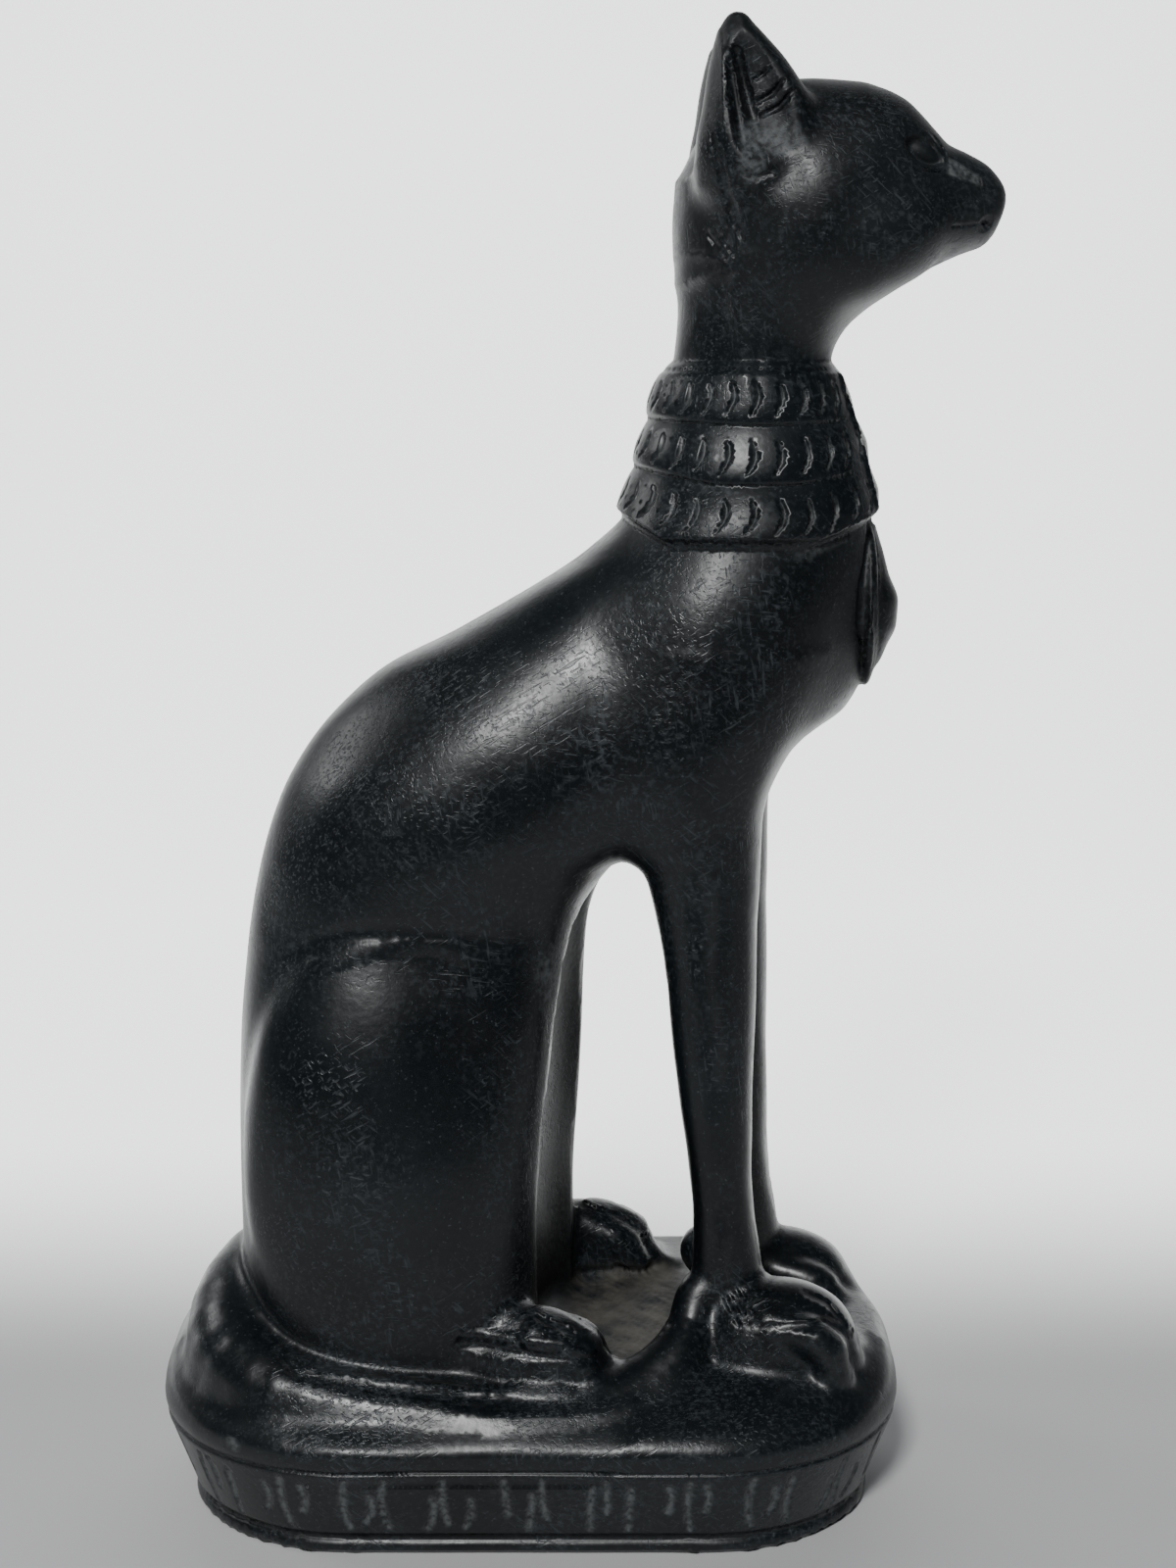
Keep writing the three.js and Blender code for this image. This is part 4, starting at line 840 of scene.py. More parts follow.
    def distance(self, x: Array, y: Array, z: Array) -> Array:
        """Measure the distance to the cat, tail and all.

        Args:
            x: Shares ahead of the origin.
            y: Shares to the cat's left.
            z: Shares above the plinth's top.

        Returns:
            The distance of each point in shares, negative inside.
        """
        side = np.abs(y)
        body_x = x - self.skew.at(z) * y
        body = self.trunk.distance(body_x, y, z)
        body = flow_together(body, self.flank.distance(body_x, side, z), self.body_blend)
        body = flow_together(body, self.shoulder.distance(body_x, side, z), self.body_blend)
        leg = self.foreleg.distance(body_x, side - self.foreleg_out.at(z), z)
        body = flow_together(body, leg, self.foreleg_blend)
        body = flow_together(body, self.thigh.distance(body_x, side, z), self.thigh_blend)
        body = carve_out(body, self.belly_hollow.distance(body_x, y, z), self.thigh_blend)
        body = body - self.collar.standing_out(x, y, z)
        high = z > 70
        if high.any():
            head = self.head_distance(x[high], y[high], side[high], z[high])
            body[high] = flow_together(body[high], head, self.head_blend)
        boss = self.pectoral_boss.distance(x, y, z)
        pectoral = flow_together(self.pectoral_plate.distance(x, y, z), boss, 0.3)
        body = flow_together(body, pectoral, self.pectoral_blend)
        low = z < 14
        if low.any():
            paws = self.paws_distance(x[low], body_x[low], y[low], z[low])
            body[low] = flow_together(body[low], paws, self.paw_blend)
        low = z < 16
        if low.any():
            body[low] = flow_together(body[low], self.tail.distance(x[low], y[low], z[low]), self.tail_blend)
        return body


@dataclass
class Carving:
    """The whole carving: plinth and cat as one body, with the fine cuts that the tools left."""

    plinth: Plinth
    share: float
    foot_blend: float = 1.4
    collar_depth: float = 0.5
    ear_swell: float = 0.5
    nose_depth: float = 0.28
    chip_depth: float = 0.5
    dug_out: float = 1.0
    mark_depth: float = 0.3
    mark_spacing: float = 10.6
    mark_width: float = 0.6

    def __post_init__(self) -> None:
        """Set the cat on its plinth."""
        self.cat = Cat(self.plinth.top_tilt)

    def in_shares(self, x: Array, y: Array, z: Array) -> tuple[Array, Array, Array]:
        """Turn millimetres into the cat's shares above the plinth's top."""
        return x / self.share, y / self.share, (z - self.plinth.height) / self.share

    def distance(self, x: Array, y: Array, z: Array) -> Array:
        """Measure the distance to the plain forms, before the fine cuts."""
        body = self.plinth.distance(x, y, z)
        near_top = z > self.plinth.crest_height - 2
        if near_top.any():
            cat = self.share * self.cat.distance(*self.in_shares(x[near_top], y[near_top], z[near_top]))
            body[near_top] = flow_together(body[near_top], cat, self.foot_blend * self.share)
        return body

    def inscription(self, x: Array, y: Array, z: Array) -> Array:
        """Say how deep the scratched marks of the band are, from 0 to 1; they spell nothing."""
        along = self.plinth.along_edge(x, y)
        side = np.where(y < 0, 0.0, 7.0)
        low = self.plinth.lip_height + 1.7
        tall = self.plinth.band_top - low - 0.9
        depth = np.zeros(len(x))
        mark = np.floor(along / self.mark_spacing + 0.5)
        for offset in (-1, 0, 1):
            index = mark + offset
            for stroke in range(3):
                seed = index * 3.1 + stroke * 1.7 + side
                start = index * self.mark_spacing + 2.5 * (stroke - 1) + 0.35 * hash_wave(seed + 2.0)
                length = tall * (0.72 + 0.24 * hash_wave(seed + 5.0))
                foot = low + (tall - length) * (0.5 + 0.5 * hash_wave(seed + 9.0))
                t = np.clip((z - foot) / length, 0.0, 1.0)
                bend = hash_wave(seed + 13.0) * t * (1 - t)
                aside = along - (start + 0.7 * hash_wave(seed) * (t - 0.5) + bend * 2.2)
                gap = np.hypot(aside, z - (foot + t * length))
                depth = np.maximum(depth, np.maximum(0.0, 1 - (gap / self.mark_width) ** 2))
        return depth

    def nose_facet(self, x: Array, y: Array, z: Array) -> Array:
        """Say how far points lie on the flat unpolished patch beside the nose, in shares, from 0 to 1."""
        along = (x - 30.4) / 2.5
        inward = 0.72 - 0.42 * along - np.abs(z - 88.95 + 1.1 * along)
        within = ramp(along, -0.08, 0.06) * ramp(-along, -1.1, -0.96)
        return ramp(inward, -0.12, 0.16) * within * (np.abs(y) > 1.6)

    def between_feet(self, x: Array, y: Array, z: Array) -> Array:
        """Say how far points lie on the rough hollow between the feet, in shares, from 0 to 1."""
        from_feet = ramp(x, 1.5, 4.5) * ramp(-x, -13.5, -11.0) * ramp(y, -8.8, -7.0) * ramp(-y, -10.5, -8.5)
        return from_feet * ramp(-z, -1.4, -0.3)

    def dug_depth(self, x: Array, y: Array, z: Array) -> Array:
        """Say how deep that hollow is with the marks of the point in it, in millimetres."""
        chatter = np.sin(x * 1.9 + z * 0.7) * np.sin(y * 1.7 - x * 0.6) + 0.6 * np.sin(x * 3.7 + y * 3.1 + z)
        return self.between_feet(*self.in_shares(x, y, z)) * (self.dug_out + 0.07 * chatter)

    def from_chip(self, x: Array, y: Array, z: Array) -> Array:
        """Measure how far points are from the chip at the plinth's rear corner, in shares."""
        return np.sqrt((x + 22.0) ** 2 + (y + 14.4) ** 2 + ((z + 4.5) * 1.6) ** 2)

    def relief(self, x: Array, y: Array, z: Array) -> Array:
        """Say how far the fine carving stands above the plain forms, in millimetres."""
        collar = self.cat.collar
        xs, ys, zs = shares = self.in_shares(x, y, z)
        side = np.abs(ys)
        raised = 0.05 * (
            np.sin(x * 0.31 + y * 0.17 + 0.9) * np.sin(z * 0.23 + y * 0.29)
            + np.sin(x * 0.13 - z * 0.19 + 2.0) * np.sin(y * 0.37 + z * 0.11)
        )
        raised += self.ear_swell * spot(xs, zs, (16.7, 88.9), (2.4, 2.0), 1.0, 0.0) * (side > 5)
        raised -= self.chip_depth * np.maximum(0.0, 1 - (self.from_chip(*shares) / 0.8) ** 2)

        def work(on: Array, height: float, shape: Callable[..., Array], *spots: Array) -> None:
            """Add height times a shape where it may reach."""
            if on.any():
                raised[on] += height * shape(*(values[on] for values in spots))

        ringed = (zs > collar.foot - 2.5) & (zs < collar.top + 1)
        work(ringed, -self.collar_depth, collar.stroke_depth, *shares)
        work(ringed & (xs > collar.axis) & (side < collar.panel_half + 1), 1.0, collar.panel_height, ys, zs)
        body_x = xs - self.cat.skew.at(zs) * ys
        drawn = {Plane.SIDE: (xs, zs), Plane.BODY: (body_x, zs), Plane.FRONT: (side, zs), Plane.TOP: (xs, ys)}
        for lines in FINE_LINES:
            a, b = drawn[lines.plane]
            tilted = b - lines.tilt * self.plinth.top_tilt * ys
            work(lines.region.holds(*shares), 1.0, lines.height, a, tilted)
        work((zs > 86) & (xs > 29), -self.nose_depth, self.nose_facet, *shares)
        work((zs > -3) & (zs < 5), -1.0, self.dug_depth, x, y, z)
        band = (z > self.plinth.lip_height + 1) & (z < self.plinth.band_top)
        work(band & (self.plinth.plan_distance(x, y) > -2), -self.mark_depth, self.inscription, x, y, z)
        return raised

    def fine_distance(self, x: Array, y: Array, z: Array) -> Array:
        """Measure the distance to the finished surface; the underside has no relief."""
        return self.distance(x, y, z) - np.where(z < 0.02, 0.0, self.relief(x, y, z))

    def edge_length(self, x: Array, y: Array, z: Array) -> Array:
        """Say how long a mesh edge may be, finer where the carving is finer, in millimetres."""
        collar, plinth = self.cat.collar, self.plinth
        shares = self.in_shares(x, y, z)
        place = collar.place(*shares[1:])
        wanted = np.full(len(x), 1.5)
        wanted[(place > -0.14) & (place < 1.12) & (shares[2] > collar.foot - 3)] = 0.42
        for region, length in EDGE_LENGTHS:
            wanted[region.holds(*shares)] = length
        band = (z > plinth.lip_height + 0.4) & (z < plinth.band_top + 1.4)
        wanted[band & (plinth.plan_distance(x, y) > -2.0)] = 0.46
        wanted[(z > plinth.band_top - 0.4) & (z < plinth.band_top + 1.2)] = 0.32
        wanted[z < plinth.lip_height + 0.4] = 1.2
        return wanted


class SurfaceMesher:
    """Finds the closed surface where a distance is zero, and refines it where asked."""

    BLOCK = 4
    PROBE = 0.04
    SPLIT_OVER = 1.6
    STEPS = np.array([[1, 1, 1], [1, -1, -1], [-1, 1, -1], [-1, -1, 1]], float)

    def __init__(self, low: Array, high: Array, step: float) -> None:
        """Lay out the lattice.

        Args:
            low: Its lowest corner, in millimetres.
            high: Its highest corner.
            step: Its spacing.
        """
        self.low = np.asarray(low, float)
        self.step = step
        self.blocks = np.ceil((np.asarray(high) - self.low) / (step * self.BLOCK)).astype(int)

    def _field(self, distance: Distance) -> Array:
        """Work the distance out at every lattice point, roughly where the surface is far."""
        block, step = self.BLOCK, self.step
        middle = (block - 1) / 2
        centres = [self.low[i] + (np.arange(self.blocks[i]) * block + middle) * step for i in range(3)]
        grid = np.meshgrid(*centres, indexing="ij")
        coarse = distance(*(g.ravel() for g in grid)).reshape(self.blocks)
        near = np.abs(coarse) < block * step * 1.8
        lattice = coarse.repeat(block, 0).repeat(block, 1).repeat(block, 2)
        near = near.repeat(block, 0).repeat(block, 1).repeat(block, 2)
        spots = np.nonzero(near)
        lattice[spots] = distance(*(self.low[i] + spots[i] * step for i in range(3)))
        for axis in range(3):
            for end in (0, -1):
                rim = np.moveaxis(lattice, axis, 0)[end]
                np.maximum(rim, step * 0.5, out=rim)
        return lattice

    def extract(self, distance: Distance) -> tuple[Array, Array]:
        """Find the surface as points and triangles.

        Args:
            distance: The distance that is zero on the surface.

        Returns:
            Points in millimetres, and triangles as rows of point numbers.
        """
        lattice = self._field(distance)
        cells = np.array(lattice.shape) - 1
        sums = np.zeros((*cells, 3))
        tally = np.zeros(cells)
        crossings = []
        for axis in range(3):
            every = [slice(None)] * 3
            a = lattice[tuple(every[:axis] + [slice(0, -1)] + every[axis + 1 :])]
            b = lattice[tuple(every[:axis] + [slice(1, None)] + every[axis + 1 :])]
            crossing = (a < 0) != (b < 0)
            crossings.append(crossing)
            spots = np.indices(a.shape).astype(float)
            spots[axis] += np.where(crossing, a / np.where(crossing, a - b, 1.0), 0.0)
            spots = np.moveaxis(spots, 0, -1)
            u, v = (k for k in range(3) if k != axis)
            for du in (0, 1):
                for dv in (0, 1):
                    window = every.copy()
                    window[u] = slice(du, du + cells[u])
                    window[v] = slice(dv, dv + cells[v])
                    met = crossing[tuple(window)]
                    sums += spots[tuple(window)] * met[..., None]
                    tally += met
        active = tally > 0
        number = np.full(cells, -1)
        number[active] = np.arange(active.sum())
        points = self.low + sums[active] / tally[active][:, None] * self.step
        quads = [self._quads(axis, crossing, lattice < 0, number) for axis, crossing in enumerate(crossings)]
        return points, self._triangles(points, np.vstack(quads))

    @staticmethod
    def _quads(axis: int, crossing: Array, inside: Array, number: Array) -> Array:
        """Join the four points round each lattice line that the surface crosses.

        Args:
            axis: The way the lines run.
            crossing: Which of them are crossed.
            inside: Which lattice points are inside.
            number: The number of each cell's point.

        Returns:
            Rows of four point numbers, facing out.
        """
        u, v = (axis + 1) % 3, (axis + 2) % 3
        spots = np.array(np.nonzero(crossing))
        inner = (spots[u] > 0) & (spots[v] > 0) & (spots[u] < number.shape[u]) & (spots[v] < number.shape[v])
        spots = spots[:, inner]
        ring = []
        for du, dv in ((-1, -1), (0, -1), (0, 0), (-1, 0)):
            shifted = spots.copy()
            shifted[u] += du
            shifted[v] += dv
            ring.append(number[tuple(shifted)])
        ring = np.stack(ring, axis=1)
        inward = ~inside[tuple(spots)]
        ring[inward] = ring[inward][:, ::-1]
        return ring

    @staticmethod
    def _triangles(points: Array, quads: Array) -> Array:
        """Cut each four-sided face along its shorter diagonal."""
        first = np.linalg.norm(points[quads[:, 0]] - points[quads[:, 2]], axis=1)
        second = np.linalg.norm(points[quads[:, 1]] - points[quads[:, 3]], axis=1)
        turned = np.where((first <= second)[:, None], quads, np.roll(quads, -1, axis=1))
        return np.vstack([turned[:, [0, 1, 2]], turned[:, [0, 2, 3]]])

    def slope(self, points: Array, distance: Distance) -> tuple[Array, Array]:
        """Measure the distance and its slope at points from four probes around each."""
        slope = np.zeros_like(points)
        value = np.zeros(len(points))
        for step in self.STEPS:
            probed = points + self.PROBE * step
            found = distance(probed[:, 0], probed[:, 1], probed[:, 2])
            slope += found[:, None] * step
            value += found
        return value / 4, slope / (4 * self.PROBE)

    def settle(self, points: Array, distance: Distance, rounds: int) -> Array:
        """Move points onto the surface.

        Args:
            points: Points near it.
            distance: The distance that is zero on it.
            rounds: How many times to step.

        Returns:
            The moved points, none below the underside.
        """
        for _ in range(rounds):
            value, slope = self.slope(points, distance)
            steep = np.maximum((slope**2).sum(1), 0.3)
            move = -(value / steep)[:, None] * slope
            size = np.linalg.norm(move, axis=1, keepdims=True)
            move *= np.minimum(1.0, 0.8 / np.maximum(size, 1e-9))
            points = points + move
        points[:, 2] = np.maximum(points[:, 2], 0.0)
        return points

    @staticmethod
    def even_out(points: Array, triangles: Array, weight: float) -> Array:
        """Draw each point towards the middle of its neighbours."""
        sums = np.zeros_like(points)
        tally = np.zeros(len(points))
        for a, b in ((0, 1), (1, 2), (2, 0)):
            np.add.at(sums, triangles[:, a], points[triangles[:, b]])
            np.add.at(tally, triangles[:, a], 1)
        return points + weight * (sums / np.maximum(tally, 1)[:, None] - points)

    @staticmethod
    def refine(points: Array, triangles: Array, wanted: Callable[..., Array]) -> tuple[Array, Array]:
        """Split every edge that is longer than wanted, and the triangles beside it.

        Args:
            points: The surface's points.
            triangles: Its triangles.
            wanted: Gives the longest edge allowed at a place.

        Returns:
            The new points and triangles.
        """
        ends = np.sort(np.vstack([triangles[:, [0, 1]], triangles[:, [1, 2]], triangles[:, [2, 0]]]), axis=1)
        edges, back = np.unique(ends, axis=0, return_inverse=True)
        back = back.reshape(3, -1).T
        middles = points[edges].mean(1)
        lengths = np.linalg.norm(points[edges[:, 0]] - points[edges[:, 1]], axis=1)
        split = lengths > SurfaceMesher.SPLIT_OVER * wanted(middles[:, 0], middles[:, 1], middles[:, 2])
        number = np.full(len(edges), -1)
        number[split] = len(points) + np.arange(split.sum())
        middle = number[back]
        cut = middle >= 0
        count = cut.sum(1)
        made = [triangles[count == 0]]
        t, m = triangles[count == 3], middle[count == 3]
        made += [m, *(np.stack((t[:, i], m[:, i], m[:, i - 1]), 1) for i in range(3))]
        for turn in range(3):
            order = np.roll(np.arange(3), -turn)
            one = (count == 1) & cut[:, turn]
            t, m = triangles[one][:, order], middle[one][:, turn]
            made += [np.stack((t[:, 0], m, t[:, 2]), 1), np.stack((m, t[:, 1], t[:, 2]), 1)]
            two = (count == 2) & ~cut[:, (turn + 2) % 3]
            t, m = triangles[two][:, order], middle[two][:, order]
            made += [np.stack((m[:, 0], t[:, 1], m[:, 1]), 1)]
            made += [np.stack((t[:, 0], m[:, 0], m[:, 1]), 1), np.stack((t[:, 0], m[:, 1], t[:, 2]), 1)]
        return np.vstack([points, middles[split]]), np.vstack(made)


class Wiring:
    """The nodes of one material, joined up step by step."""

    def __init__(self, name: str) -> None:
        """Start with a plain shader."""
        self.material = bpy.data.materials.new(name)
        self.material.use_nodes = True
        self.nodes, self.links = self.material.node_tree.nodes, self.material.node_tree.links
        self.shader = self.nodes["Principled BSDF"]
        self.place = self.add("ShaderNodeTexCoord").outputs["Object"]

    def feed(self, made: bpy.types.Node, sockets: dict) -> None:
        """Fill a node's sockets, each by name or number, with a joined socket or a fixed value."""
        for name, value in sockets.items():
            if isinstance(value, Socket):
                self.links.new(value, made.inputs[name])
            else:
                made.inputs[name].default_value = value

    def add(self, kind: str, sockets: dict | None = None, **settings: str) -> bpy.types.Node:
        """Add a node.

        Args:
            kind: Its type.
            sockets: What its sockets are filled with.
            **settings: Its own choices.

        Returns:
            The node.
        """
        made = self.nodes.new(kind)
        for name, value in settings.items():
            setattr(made, name, value)
        self.feed(made, sockets or {})
        return made

    def mix(self, factor: Socket, a: object, b: object) -> Socket:
        """Mix two colours by a factor, each a colour or a socket."""
        first, second = ((*value, 1) if isinstance(value, tuple) else value for value in (a, b))
        return self.add("ShaderNodeMix", {0: factor, 6: first, 7: second}, data_type="RGBA").outputs[2]

    def stepped(self, source: Socket, low: float, high: float, top: float = 1.0,
                way: str = "LINEAR") -> Socket:
        """Map a value from low..high to 0..top, clamped."""
        sockets = {"Value": source, "From Min": low, "From Max": high, "To Max": top}
        return self.add("ShaderNodeMapRange", sockets, interpolation_type=way).outputs["Result"]

    def maths(self, operation: str, a: object, b: object = 0.0) -> Socket:
        """Combine two values, each a number or a socket."""
        return self.add("ShaderNodeMath", {0: a, 1: b}, operation=operation).outputs[0]

    def times(self, a: object, b: object) -> Socket:
        """Multiply two values."""
        return self.maths("MULTIPLY", a, b)

    def most(self, a: object, b: object) -> Socket:
        """Take the greater of two values."""
        return self.maths("MAXIMUM", a, b)

    def noise(self, scale: float, detail: float, stretch: float = 0.0, turn: float = 0.0) -> Socket:
        """Make a noise, drawn out along a turned line if wanted.

        Args:
            scale: Cells for each metre.
            detail: Finer layers.
            stretch: How many times longer than wide a cell is.
            turn: The line's angle about Y, in radians.

        Returns:
            The noise.
        """
        place = self.place
        if stretch:
            line = {"Vector": place, "Rotation": (0.3, turn, 0.2), "Scale": (stretch, 1.0, 1.0)}
            place = self.add("ShaderNodeMapping", line, vector_type="TEXTURE").outputs[0]
        sockets = {"Vector": place, "Scale": scale, "Detail": detail}
        return self.add("ShaderNodeTexNoise", sockets).outputs["Fac"]


@dataclass(frozen=True)
class StoneFinish:
    """Near-black soapstone: satin where polished, dull and dusty in the hollows."""

    dark: Colour = (0.0016, 0.0028, 0.0038)
    mid: Colour = (0.0050, 0.0078, 0.0098)
    speck: Colour = (0.072, 0.088, 0.102)
    # Pale raw stone; below the ears it also paints a highlight.
    raw_and_highlight: Colour = (0.13, 0.14, 0.145)
    dust: Colour = (0.088, 0.081, 0.068)
    polish: float = 0.28
    dull: float = 0.6
    scratches: tuple[tuple[float, float], ...] = ((2400, 0.75), (2700, -0.5), (2200, 1.4), (3000, 0.15))

    def build(self) -> bpy.types.Material:
        """Make the material.

        Returns:
            The finished stone.
        """
        stone = Wiring("soapstone")
        stepped, times, most, noise = stone.stepped, stone.times, stone.most, stone.noise
        masks = {
            name: stone.add("ShaderNodeAttribute", attribute_name=name).outputs["Fac"]
            for name in ("dust", "raw_and_highlight", "chalk", "cavity", "scuff_and_highlight", "rubbed")
        }

        grain = noise(1250, 2)
        worn_places = stone.maths("ADD", times(stepped(noise(70, 5), 0.4, 0.62), 0.85), 0.15)
        mottle = times(stepped(grain, 0.5, 0.7), worn_places)
        strokes = [stepped(noise(scale, 1, 9, turn), 0.62, 0.72) for scale, turn in self.scratches]
        light_touch, heavy_touch = most(*strokes[:2]), most(*strokes[2:])
        scratch = times(light_touch, stepped(noise(60, 4), 0.44, 0.6))
        scratch = most(scratch, times(heavy_touch, stepped(noise(72, 4), 0.46, 0.62)))
        scratch = most(scratch, times(most(light_touch, heavy_touch), masks["scuff_and_highlight"]))

        colour = stone.mix(stepped(noise(38, 4), 0.38, 0.66), self.dark, self.mid)
        for share, shade in (
            (times(mottle, 0.25), self.speck),
            (stepped(noise(2300, 1), 0.66, 0.78, 0.5), self.speck),
            (times(scratch, 0.32), self.speck),
            # Pale specks of scuffs; at the ear's foot they also paint a highlight.
            (times(masks["scuff_and_highlight"], stepped(grain, 0.45, 0.75, 0.35)), self.speck),
            # Raw stone in pale grey; at the ear's foot this is also a painted highlight.
            (times(masks["raw_and_highlight"], stepped(grain, 0.3, 0.7)), self.raw_and_highlight),
            (times(masks["chalk"], stepped(grain, 0.25, 0.6)), self.raw_and_highlight),
            (times(masks["dust"], stepped(noise(240, 4), 0.34, 0.66)), self.dust),
        ):
            colour = stone.mix(share, colour, shade)

        rough = self.polish
        for part, amount in (
            (stepped(noise(90, 5), 0.32, 0.7), 0.1),
            (most(masks["raw_and_highlight"], most(masks["dust"], masks["chalk"])), self.dull - self.polish),
            (masks["cavity"], 0.16),
            (masks["rubbed"], 0.16),
            (scratch, 0.12),
            (mottle, 0.1),
        ):
            rough = stone.maths("ADD", times(part, amount), rough)

        broad = stone.add("ShaderNodeBump", {"Strength": 0.16, "Distance": 0.0006, "Height": noise(170, 3)})
        height = stone.maths("ADD", times(grain, 0.6), times(scratch, -0.8))
        fine = {"Strength": 0.35, "Distance": 0.00012, "Height": height, "Normal": broad.outputs[0]}
        stone.feed(stone.shader, {
            "Base Color": colour,
            "Roughness": rough,
            "IOR": 1.5,
            "Specular IOR Level": 0.5,
            "Normal": stone.add("ShaderNodeBump", fine).outputs[0],
        })
        return stone.material


def placed(name: str, data: bpy.types.ID) -> bpy.types.Object:
    """Put data in the scene as an object."""
    made = bpy.data.objects.new(name, data)
    bpy.context.scene.collection.objects.link(made)
    return made


@dataclass
class StoneFigure:
    """The finished figure: its mesh, its surface masks and its stone."""

    carving: Carving
    box: tuple[Array, Array]
    lattice: float = 1.35
    passes: int = 3
    hollow_reach: float = 3.0
    finish: StoneFinish = field(default_factory=StoneFinish)

    def _surface(self) -> tuple[Array, Array, Array]:
        """Work out the refined surface and its normals.

        Returns:
            Points in millimetres, triangles and outward normals.
        """
        carving, plinth = self.carving, self.carving.plinth
        edge = plinth.crest_overhang + 3
        low = (-plinth.length / 2 - edge, -plinth.width / 2 - edge, -2.5)
        high = (36.5 * carving.share, plinth.width / 2 + edge, plinth.height + 101.5 * carving.share)
        mesher = SurfaceMesher(low, high, self.lattice)
        points, triangles = mesher.extract(carving.distance)
        log.info("lattice surface: %d triangles", len(triangles))
        points = mesher.settle(points, carving.distance, 2)
        for _ in range(2):
            points = mesher.settle(mesher.even_out(points, triangles, 0.5), carving.distance, 1)
        for _ in range(self.passes):
            points, triangles = mesher.refine(points, triangles, carving.edge_length)
            points = mesher.settle(mesher.even_out(points, triangles, 0.35), carving.fine_distance, 2)
        points = np.clip(mesher.settle(points, carving.fine_distance, 2), *self.box)
        normals = mesher.slope(points, carving.fine_distance)[1]
        normals[points[:, 2] < 1e-3] = (0, 0, -1)
        normals /= np.maximum(np.linalg.norm(normals, axis=1, keepdims=True), 1e-9)
        log.info("refined surface: %d triangles", len(triangles))
        return points, triangles, normals

    def _masks(self, points: Array, normals: Array) -> dict[str, Array]:
        """Say where the stone is raw, dusty, chalky, hollow, scuffed or rubbed, and where a highlight is
        painted at the foot of each ear.

        Args:
            points: The surface's points in millimetres.
            normals: Its outward normals.

        Returns:
            One value from 0 to 1 for each point and name.
        """
        carving, plinth, collar = self.carving, self.carving.plinth, self.carving.cat.collar
        x, y, z = points.T
        xs, ys, zs = shares = carving.in_shares(x, y, z)
        side = np.abs(ys)
        out = points + self.hollow_reach * normals
        cavity = np.clip(1 - carving.distance(*out.T) / self.hollow_reach, 0, 1)
        dust = carving.between_feet(*shares) * np.maximum(ramp(normals[:, 2], 0.1, 0.6), 0.3)
        dust = np.maximum(dust, 0.35 * ramp(cavity, 0.5, 0.95) * ramp(-zs, -9, -3))

        # Below each ear: partly scuffed raw stone, partly a painted highlight where the lamp shines on the
        # head.
        ear_foot_scuff_and_highlight = spot(xs, zs, (17.2, 90.6), (2.3, 1.3), inner=0.6)
        ear_foot_scuff_and_highlight = np.maximum(ear_foot_scuff_and_highlight, spot(xs, zs, (16.0, 88.9), (1.0, 1.6), inner=0.6))
        ear_foot_scuff_and_highlight *= (side > 5) * (xs < 21)
        behind = spot(xs, zs, (5.6, 48.5), (1.2, 5.5), inner=0.3) * (side > 6)
        corner = spot(xs, zs, (1.6, 29.5), (1.0, 2.2), outer=1.4) * (ys < -4)
        neck = spot(xs, zs, (14.6, 86.0), (1.5, 4.2)) * (side > 3)
        heel = spot(xs, zs, (15.2, 4.6), (2.2, 2.0)) * (side > 4)
        hock = spot(xs, zs, (2.5, 4.4), (3.0, 1.4)) * (side > 8)
        # The scuffs include the painted highlight at the ear's foot.
        scuff_and_highlight = np.maximum.reduce([behind, 0.8 * neck, 0.9 * ear_foot_scuff_and_highlight, 0.5 * corner, 0.8 * heel, 0.3 * hock])

        inner = ramp(normals[:, 0], 0.55, 0.9) * ramp(-zs, -36.0, -31.0) * ramp(zs, 1.0, 4.0)
        inner = inner * ramp(ys, -2.0, 4.0)
        nose = carving.nose_facet(*shares)
        # The raw stone includes the painted highlight at the ear's foot as well.
        raw_and_highlight = np.maximum.reduce([0.22 * (xs < 9) * inner, 0.8 * nose, 0.6 * ear_foot_scuff_and_highlight, 0.45 * corner])
        place = collar.place(ys, zs)
        ringed = (place > 0) & (place < 1) & (zs > 55)
        cut = collar.stroke_depth(xs[ringed], ys[ringed], zs[ringed])
        raw_and_highlight[ringed] = np.maximum(raw_and_highlight[ringed], 0.4 * cut)

        band = (z > plinth.lip_height) & (z < plinth.band_top) & (plinth.plan_distance(x, y) > -2)
        chalk = np.zeros(len(x))
        chalk[band] = carving.inscription(x[band], y[band], z[band])
        chalk = np.maximum(chalk, ramp(-np.abs(place - 1.06), -0.05, -0.01) * ramp(xs, 18.0, 22.0) * 0.6)
        chalk = 0.8 * np.maximum(chalk, ramp(-carving.from_chip(*shares), -1.0, -0.5) * 0.8)

        throat = ramp(xs, 19.5, 23.0) * ramp(zs, 77.0, 80.0)
        rubbed = np.maximum(throat, 0.6 * ramp(xs, 12.0, 18.0) * ramp(zs, 48.0, 53.0))
        rubbed = np.maximum(rubbed * ((zs > 75) | (zs < 64)), 0.8 * ramp(zs, 90.0, 92.0))
        return {"dust": dust, "raw_and_highlight": raw_and_highlight, "chalk": chalk, "cavity": cavity, "scuff_and_highlight": scuff_and_highlight, "rubbed": rubbed}

    def build(self) -> bpy.types.Object:
        """Make the figure.

        Returns:
            The dressed object.
        """
        points, triangles, normals = self._surface()
        mesh = bpy.data.meshes.new("bastet_cat_carving")
        mesh.from_pydata((points * MILLIMETRE).tolist(), [], triangles.tolist())
        mesh.update()
        mesh.shade_smooth()
        mesh.normals_split_custom_set_from_vertices(normals.tolist())
        for name, values in self._masks(points, normals).items():
            attribute = mesh.attributes.new(name, "FLOAT", "POINT")
            attribute.data.foreach_set("value", values.astype(np.float32))
        mesh.materials.append(self.finish.build())
        return placed("bastet_cat_carving", mesh)


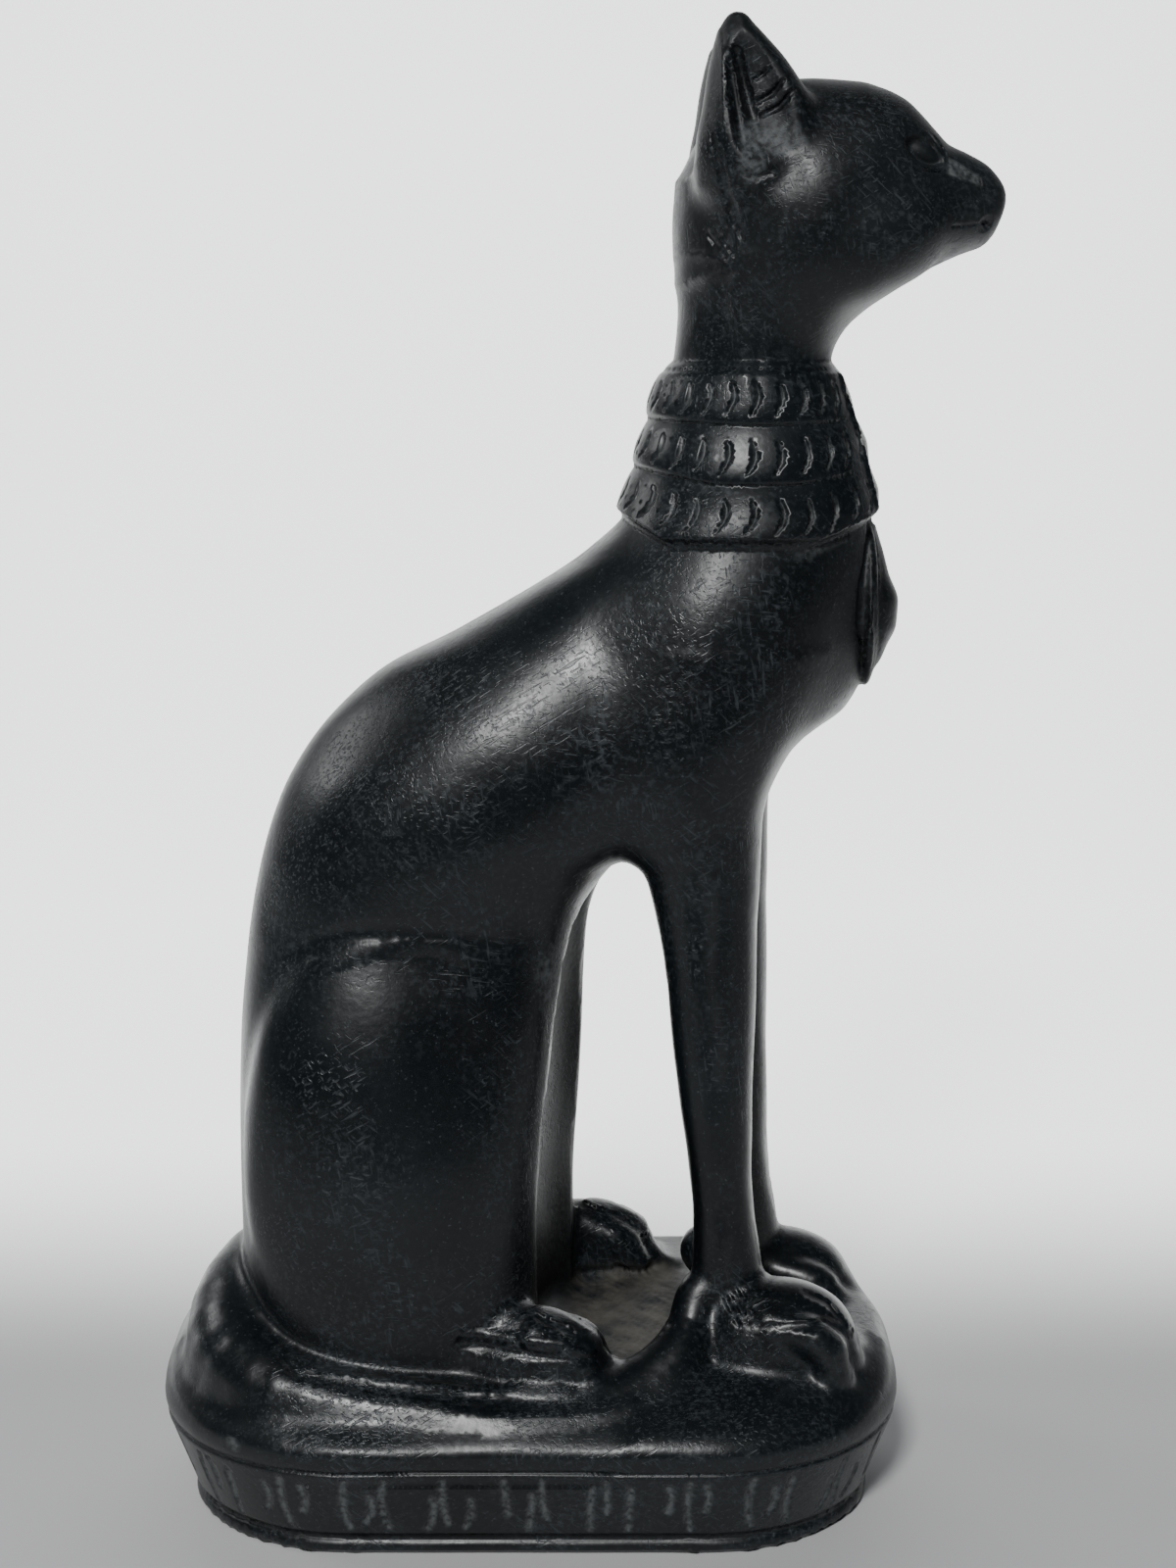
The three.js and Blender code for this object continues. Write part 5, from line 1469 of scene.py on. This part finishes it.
@dataclass
class Studio:
    """A pale floor that sweeps up behind, soft lights, and the camera."""

    camera_place: Row = (0.007965, -0.331874, 0.155)
    camera_pitch: float = 9.456
    focal_pixels: float = 2500.0
    image_height: float = 1600.0
    sensor: float = 36.0
    floor_depth: float = 0.62
    floor_front: float = 0.2
    edge_radius: float = 0.04
    front_drop: float = 0.5
    floor_width: float = 3.2
    wall_height: float = 1.2
    wall_painted_light: float = 1.9
    sweep_radius: float = 0.25
    middle: Row = (0.0, 0.0, 0.1)

    def _paper(self) -> bpy.types.Material:
        """Make matt white paper with painted light: it glows behind the figure as if a lamp shone on the
        wall, less and less to the sides and upward.

        Returns:
            The paper.
        """
        paper = Wiring("studio_paper")
        split = paper.add("ShaderNodeSeparateXYZ", {0: paper.place})
        aside = paper.maths("ABSOLUTE", split.outputs["X"])
        # Painted light: the wall glows as if lit by a lamp, brightest behind the figure.
        glow = paper.stepped(split.outputs["Y"], 0.03, 0.16, self.wall_painted_light, "SMOOTHSTEP")
        glow = paper.times(glow, paper.stepped(split.outputs["Z"], 0.85, 0.3, way="SMOOTHSTEP"))
        glow = paper.times(glow, paper.stepped(aside, 0.75, 0.15, way="SMOOTHSTEP"))
        paper.feed(paper.shader, {
            "Base Color": (0.62, 0.62, 0.625, 1),
            "Roughness": 0.8,
            "Specular IOR Level": 0.2,
            "Emission Color": (0.985, 1.0, 1.0, 1),
            "Emission Strength": glow,
        })
        return paper.material

    def build_floor(self) -> bpy.types.Object:
        """Make the floor and the wall as one seamless sheet, which hangs over the table's front edge.

        Returns:
            The staged sheet.
        """
        edge, sweep = self.edge_radius, self.sweep_radius
        profile = [(-self.floor_front - edge, -self.front_drop)]
        for angle in np.linspace(0, math.pi / 2, 7):
            profile.append((-self.floor_front - edge * math.cos(angle), edge * (math.sin(angle) - 1)))
        for angle in np.linspace(0, math.pi / 2, 13):
            back = self.floor_depth - sweep * (1 - math.sin(angle))
            profile.append((back, sweep * (1 - math.cos(angle))))
        profile.append((self.floor_depth, self.wall_height))
        points = [(x, y, z) for y, z in profile for x in (-self.floor_width, self.floor_width)]
        faces = [(2 * i, 2 * i + 1, 2 * i + 3, 2 * i + 2) for i in range(len(profile) - 1)]
        mesh = bpy.data.meshes.new("studio_floor")
        mesh.from_pydata(points, [], faces)
        mesh.shade_smooth()
        mesh.materials.append(self._paper())
        floor = placed("studio_floor", mesh)
        return floor

    def add_light(self, name: str, place: Row, size: float, watts: float) -> None:
        """Hang a soft square light that faces the figure.

        Args:
            name: The light's name.
            place: Where it hangs, in metres.
            size: Its side.
            watts: Its strength.
        """
        data = bpy.data.lights.new(name, "AREA")
        data.size = size
        data.energy = watts
        light = placed(name, data)
        light.location = place
        light.rotation_euler = (Vector(self.middle) - Vector(place)).to_track_quat("-Z", "Y").to_euler()

    def build_lights(self) -> None:
        """Set the lights and the pale surroundings."""
        self.add_light("key_soft", (-0.13, -0.73, 0.66), 0.14, 7)
        self.add_light("left_soft", (-0.85, 0.25, 0.6), 0.3, 1.5)
        world = bpy.data.worlds.new("studio_world")
        world.use_nodes = True
        world.node_tree.nodes["Background"].inputs["Color"].default_value = (0.75, 0.9, 1.0, 1)
        world.node_tree.nodes["Background"].inputs["Strength"].default_value = 0.05
        bpy.context.scene.world = world

    def build_camera(self) -> None:
        """Set the camera where the photograph was taken from."""
        data = bpy.data.cameras.new("camera")
        data.sensor_fit = "VERTICAL"
        data.sensor_height = self.sensor
        data.lens = self.focal_pixels / self.image_height * self.sensor
        camera = placed("camera", data)
        camera.location = self.camera_place
        camera.rotation_euler = (math.radians(90 - self.camera_pitch), 0, 0)
        bpy.context.scene.camera = camera


def main() -> None:
    """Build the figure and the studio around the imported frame."""
    logging.basicConfig(level=logging.INFO, format="%(name)s: %(message)s")
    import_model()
    plinth = Plinth()
    box = tuple(np.array(corner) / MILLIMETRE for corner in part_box(NODE))
    carving = Carving(plinth, (box[1][2] - plinth.height) / EAR_TIP)
    figure = StoneFigure(carving, box, passes=3).build()
    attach(figure, "root")
    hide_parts(NODE)
    log.info("%s: %d faces", figure.name, len(figure.data.polygons))
    studio = Studio()
    studio.build_floor()
    studio.build_lights()
    studio.build_camera()
    log.info("floor, lights and camera are set")


if __name__ == "__main__":
    main()
